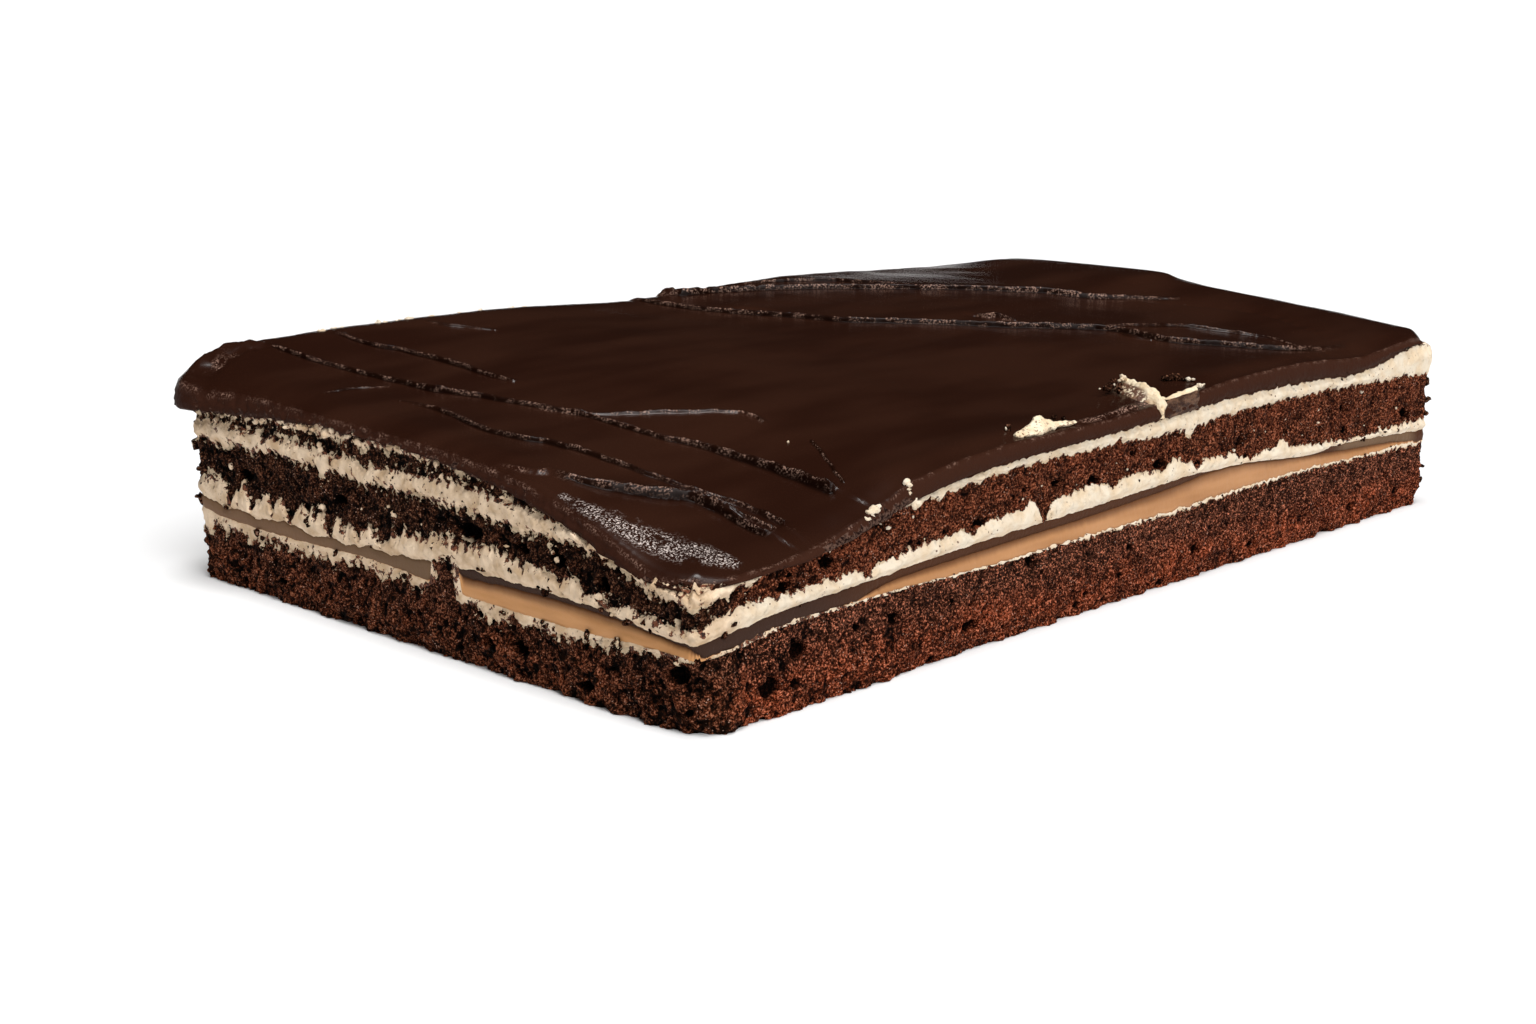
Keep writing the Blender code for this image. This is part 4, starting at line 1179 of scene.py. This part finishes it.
def dab(name, across, sharp, stations, seed, rough=0.4):
    """A lump of soft cream drawn out along a line, with a torn, bubbly face."""
    line = route_points(stations, STEPS)
    bm = bmesh.new()
    bmesh.ops.create_grid(bm, x_segments=len(line) - 1, y_segments=ROUND, size=0.5)
    flat = np.array([v.co for v in bm.verts])
    step = np.rint((flat[:, 0] + 0.5) * (len(line) - 1)).astype(int)
    turn = (flat[:, 1] + 0.5) * 2 * math.pi
    ahead = np.gradient(line[:, :3], axis=0)
    up = np.cross(ahead, np.array(across, float))
    up /= np.linalg.norm(up, axis=1)[:, None]
    up *= np.where(up[:, 2:] < 0, -1, 1)
    over = np.maximum(np.sin(turn), 0)
    width = line[step, 3] * (np.cos(turn) * (1 - sharp * over) + 0.45 * sharp * over)
    out = np.array(across, float) * width[:, None]
    out += up[step] * np.sin(turn)[:, None] * line[step, 4:5]
    points = line[step, :3] + out
    way = out / np.maximum(np.linalg.norm(out, axis=1), 1e-6)[:, None]
    ends = smooth(np.minimum(step, len(line) - 1 - step) / 6)
    swell = 1.1 * ripple(points, 2.6, seed) + 0.6 * ripple(points, 1.1, seed + 1)
    swell += 0.3 * ripple(points, 0.6, seed + 2)
    points += way * (rough * swell * ends)[:, None]
    last = (step == 0) | (step == len(line) - 1)
    points[last] = line[step[last], :3]
    # How low a point lies in the swell, for painted shade in the dents.
    keep(bm, {"hollow": np.clip(0.35 - 0.5 * swell, 0, 1)})
    for v, point in zip(bm.verts, points):
        v.co = point
    bmesh.ops.remove_doubles(bm, verts=bm.verts, dist=1e-4)
    return finished(bm, name, crisp=70)


made, shader, at = material("smeared_cream")
place_x, place_y, place_z = at.parts()
colour = at.noise(3.0, 3.0).between(0.35, 0.7).blend((0.88, 0.75, 0.54), (0.78, 0.58, 0.36))
slant = place_x - 0.55 * place_y
soiled = at.noise(0.9, 3.0, 0.7).between(0.38, 0.48) * (1 - slant.between(0.0490, 0.0504))
soiled = soiled * (1 - place_z.between(0.0426, 0.0432)) * place_x.between(-0.005, 0.0)
colour = soiled.blend(colour, (0.105, 0.040, 0.018))
flecks = at.noise(0.7, 3.0, 0.7).between(0.57, 0.60) * (1 - place_x.between(-0.005, 0.0))
colour = flecks.blend(colour, (0.16, 0.065, 0.030))
# Painted shade in the dents of the cream's torn face.
colour = at.stored("hollow").between(0.5, 0.95).blend(colour, (0.40, 0.23, 0.12))
wire_up(shader, colour, 0.55, ((at.noise(0.9, 3.0, 0.65), 0.35),))
for seed, (node, shape) in enumerate(SMEARS.items()):
    piece = dab(node + "_dab", *shape, 1100 + 10 * seed)
    piece.data.materials.append(made)
    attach(piece, "root")
    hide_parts(node)

# Chocolate smudged thin on the cut edge of the ganache under the wave's arm.
SMUDGE = (
    (133.4, -0.2, 38.0, 0.1, 1.2), (134.5, -0.5, 38.4, 0.3, 1.9), (138, -0.6, 38.7, 0.4, 2.0),
    (142, -0.6, 39.0, 0.4, 2.0), (145.2, -0.5, 39.2, 0.35, 1.9), (146.2, -0.2, 39.3, 0.1, 1.4),
)
rim_smudge = dab("rim_smudge", (0, 1, 0), 0.0, SMUDGE, 1150, rough=0.12)
made, shader, at = material("smudged_chocolate")
streaks = at.noise(1.0, 4.0, 0.7, squash=(0.4, 1.0, 1.0)).between(0.38, 0.64)
colour = streaks.blend((0.036, 0.014, 0.008), (0.15, 0.078, 0.046))
wire_up(shader, colour, 0.5, ((at.noise(0.5, 3.0, 0.7), 0.3),), specular=0.1)
rim_smudge.data.materials.append(made)
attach(rim_smudge, "root")

# ---------------------------------------------------------------------------------------------
# Crumbs: bits of sponge and of cream that the knife dragged over the cut, and a few on top. They
# stick to the moist faces, one piece for each kind.
# Where the columns of each side start and end round the rim.
RIGHT_END = RUNS[0] + RUNS[1] + RUNS[2] + RUNS[3] // 2
FRONT_RUN = (0, RUNS[0])
RIGHT_RUN = (RUNS[0] + RUNS[1], RUNS[0] + RUNS[1] + RUNS[2])
BACK_RUN = (RIGHT_END, RIGHT_END + RUNS[4])
LEFT_RUN = (RIGHT_END + RUNS[3] // 2 + RUNS[4] + RUNS[5], AROUND)
CRUMB_HOLLOW = 0.3
CRUMB_GAP = 1.4  # counts a crumb as this far from the layers' lines, so that little cream soils it


def scattered(draw, count, runs, bands, sizes, sticking=0.2):
    """Places for crumbs on the cut: their middle and size, on some layers of some sides."""
    spots = []
    for _ in range(count):
        start, end = runs[draw.integers(len(runs))]
        column = int(draw.integers(start, end)) % AROUND
        band = bands[draw.integers(len(bands))]
        low, high = LINES[band][column], LINES[band + 1][column]
        share, size = draw.random(), sizes[0] + (sizes[1] - sizes[0]) * draw.random() ** 2
        if high - low < 0.5 * size:
            continue
        out = LINES_OUT[band][column] * (1 - share) + LINES_OUT[band + 1][column] * share
        spot = EDGE[column] + OUTWARD[column] * (out + sticking * size)
        spots.append((spot[0], spot[1], low + (high - low) * share, size))
    return spots


def crumbs(name, spots, seed):
    """Small lumps at the places given, each a little different."""
    draw = np.random.default_rng(seed)
    bm = bmesh.new()
    for x, y, z, size in spots:
        made = bmesh.ops.create_icosphere(bm, subdivisions=2 if size > 0.9 else 1, radius=size / 2)
        stretch = 0.55 + 0.9 * draw.random(3)
        points = np.array([v.co for v in made["verts"]]) * stretch
        points *= (1 + 0.7 * ripple(points + (x, y, z), 0.5 * size, seed))[:, None]
        for v, point in zip(made["verts"], points):
            v.co = point + (x, y, z)
    count = len(bm.verts)
    keep(bm, {"hollow": [CRUMB_HOLLOW] * count, "gap": [CRUMB_GAP] * count})
    return finished(bm, name)


draw = np.random.default_rng(7)
sponge_bits = scattered(draw, 130, (LEFT_RUN,), (1, 4, 4, 6, 6, 8), (0.5, 1.6))
sponge_bits += scattered(draw, 60, (FRONT_RUN,), (1, 4, 6), (0.4, 1.1))
sponge_bits += scattered(draw, 110, (RIGHT_RUN, BACK_RUN), (1, 4, 6, 8), (0.4, 1.4))
sponge_bits += [
    (126.0, 10.6, 42.4, 0.8), (127.4, 10.4, 42.4, 1.1), (128.9, 10.6, 42.5, 1.3), (130.4, 10.8, 42.7, 1.4),
    (131.7, 11.2, 43.0, 1.5), (130.0, 8.8, 42.2, 1.1), (131.4, 9.6, 42.8, 1.2), (129.0, 8.2, 41.8, 0.9),
    (1.2, 153.9, 29.0, 2.2), (0.6, 154.4, 28.4, 1.4), (1.2, 153.7, 17.0, 2.0), (0.7, 154.2, 17.4, 1.2),
    (1.2, 153.8, 23.4, 1.6), (1.3, 153.7, 33.6, 1.5),
    (146.6, 8.6, 42.4, 1.2), (147.6, 8.0, 42.5, 1.5), (148.3, 6.8, 42.5, 1.5), (148.7, 5.6, 42.4, 1.3),
    (248.6, 0.9, 30.0, 1.5), (248.9, 0.8, 25.6, 1.8), (248.2, 0.7, 22.4, 1.4),
    (248.9, 0.9, 9.0, 1.6), (248.6, 0.7, 5.6, 1.5),
    (88.0, 4.9, 40.3, 1.4), (89.2, 5.6, 40.4, 1.1), (102.2, 4.6, 40.4, 1.0), (104.6, 4.0, 40.2, 0.9),
]
cream_bits = scattered(draw, 80, (LEFT_RUN,), (5, 5, 7, 7), (0.3, 1.2), 0.0)
cream_bits += scattered(draw, 90, ((LEFT_RUN[0] + 40, LEFT_RUN[1] - 30),), (8,), (0.6, 2.2), 0.1)
cream_bits += scattered(draw, 50, (FRONT_RUN,), (5, 5, 7), (0.3, 1.0), 0.0)
for along, across, big in draw.random((34, 3)):  # on the torn back rim
    x, y = 16 + 84 * along, 152.6 + 2.0 * across
    top = float(crest(np.array([x]), np.array([y]))[0])
    cream_bits.append((x, y, top - 0.2 - 0.3 * across, 0.6 + 1.2 * big**2))
cream_bits += scattered(draw, 90, (RIGHT_RUN, BACK_RUN), (5, 7), (0.3, 1.1))
cream_bits += [
    (134.2, 10.6, 43.8, 1.2), (133.4, 10.5, 43.6, 0.9), (132.2, 10.4, 43.4, 0.6), (125.2, 10.3, 42.6, 0.5),
    (129.4, 9.6, 43.0, 0.5), (52.7, 0.3, 36.0, 1.3), (52.8, 0.0, 35.4, 1.1), (52.9, -0.2, 34.7, 1.1),
    (52.8, -0.2, 34.0, 1.2), (53.0, -0.2, 33.3, 1.1), (54.2, -0.3, 32.1, 1.9), (55.2, -0.3, 31.7, 1.5),
    (42.8, 0.2, 31.9, 1.6), (43.8, 0.2, 32.2, 2.2), (45.0, 0.2, 32.6, 1.9), (43.4, 0.0, 31.2, 1.5),
    (41.5, -0.2, 31.0, 1.3), (149.2, 4.6, 42.4, 1.2), (150.0, 3.9, 42.3, 0.7),
    (147.6, 1.6, 41.2, 1.0), (148.6, 1.5, 41.3, 1.1), (149.6, 1.5, 41.3, 0.9), (150.6, 1.5, 41.4, 0.6),
    (95.5, 76.1, 44.9, 0.5), (52.0, 29.0, 39.3, 0.7), (13.9, 96.3, 43.2, 0.5), (87.2, 4.8, 40.3, 0.8),
]
for name, spots, finish, slot in (
    ("sponge_crumbs", sponge_bits, wet_sponge, "sponge"), ("cream_crumbs", cream_bits, cream, "cream"),
):
    piece = crumbs(name, spots, 1200)
    piece.data.materials.append(finish)
    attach(piece, "root")

# ---------------------------------------------------------------------------------------------
# The floor and the light: a plain white table and soft studio light from the front and above.
FLOOR_SIZE, FLOOR_RISE = 40.0, 1.2  # its far edges curl up past the horizon

floor_bm = bmesh.new()
bmesh.ops.create_grid(floor_bm, x_segments=4, y_segments=4, size=FLOOR_SIZE)
for v in floor_bm.verts:
    v.co.z = FLOOR_RISE if v.is_boundary else -0.0001
floor_mesh = bpy.data.meshes.new("floor")
floor_bm.to_mesh(floor_mesh)
floor_bm.free()
floor = bpy.data.objects.new("floor", floor_mesh)
bpy.context.scene.collection.objects.link(floor)
made, shader, _ = material("white_table")
shader.inputs["Base Color"].default_value = (0.92, 0.92, 0.92, 1)
shader.inputs["Roughness"].default_value = 0.9
shader.inputs["Specular IOR Level"].default_value = 0.1
floor_mesh.materials.append(made)

# Each lamp's strength, how wide and how high it stands, and its turn round from the front side
# towards the right side, in degrees.
LAMPS = {
    "key": (1.5, 38, 52, -8), "overhead": (2.2, 26, 85, -45),
    "front": (1.05, 36, 26, -20), "fill": (0.12, 80, 35, -80),
}
for name, (strength, wide, high, turn) in LAMPS.items():
    light = bpy.data.objects.new(name, bpy.data.lights.new(name, "SUN"))
    light.data.energy, light.data.angle = strength, math.radians(wide)
    light.rotation_euler = (math.radians(90 - high), 0, math.radians(turn))
    bpy.context.scene.collection.objects.link(light)

world = bpy.data.worlds.new("studio")
bpy.context.scene.world = world
world.use_nodes = True
world.node_tree.nodes["Background"].inputs["Color"].default_value = (1.0, 0.8, 0.68, 1)
world.node_tree.nodes["Background"].inputs["Strength"].default_value = 0.008
bpy.context.scene.view_settings.view_transform = "Standard"
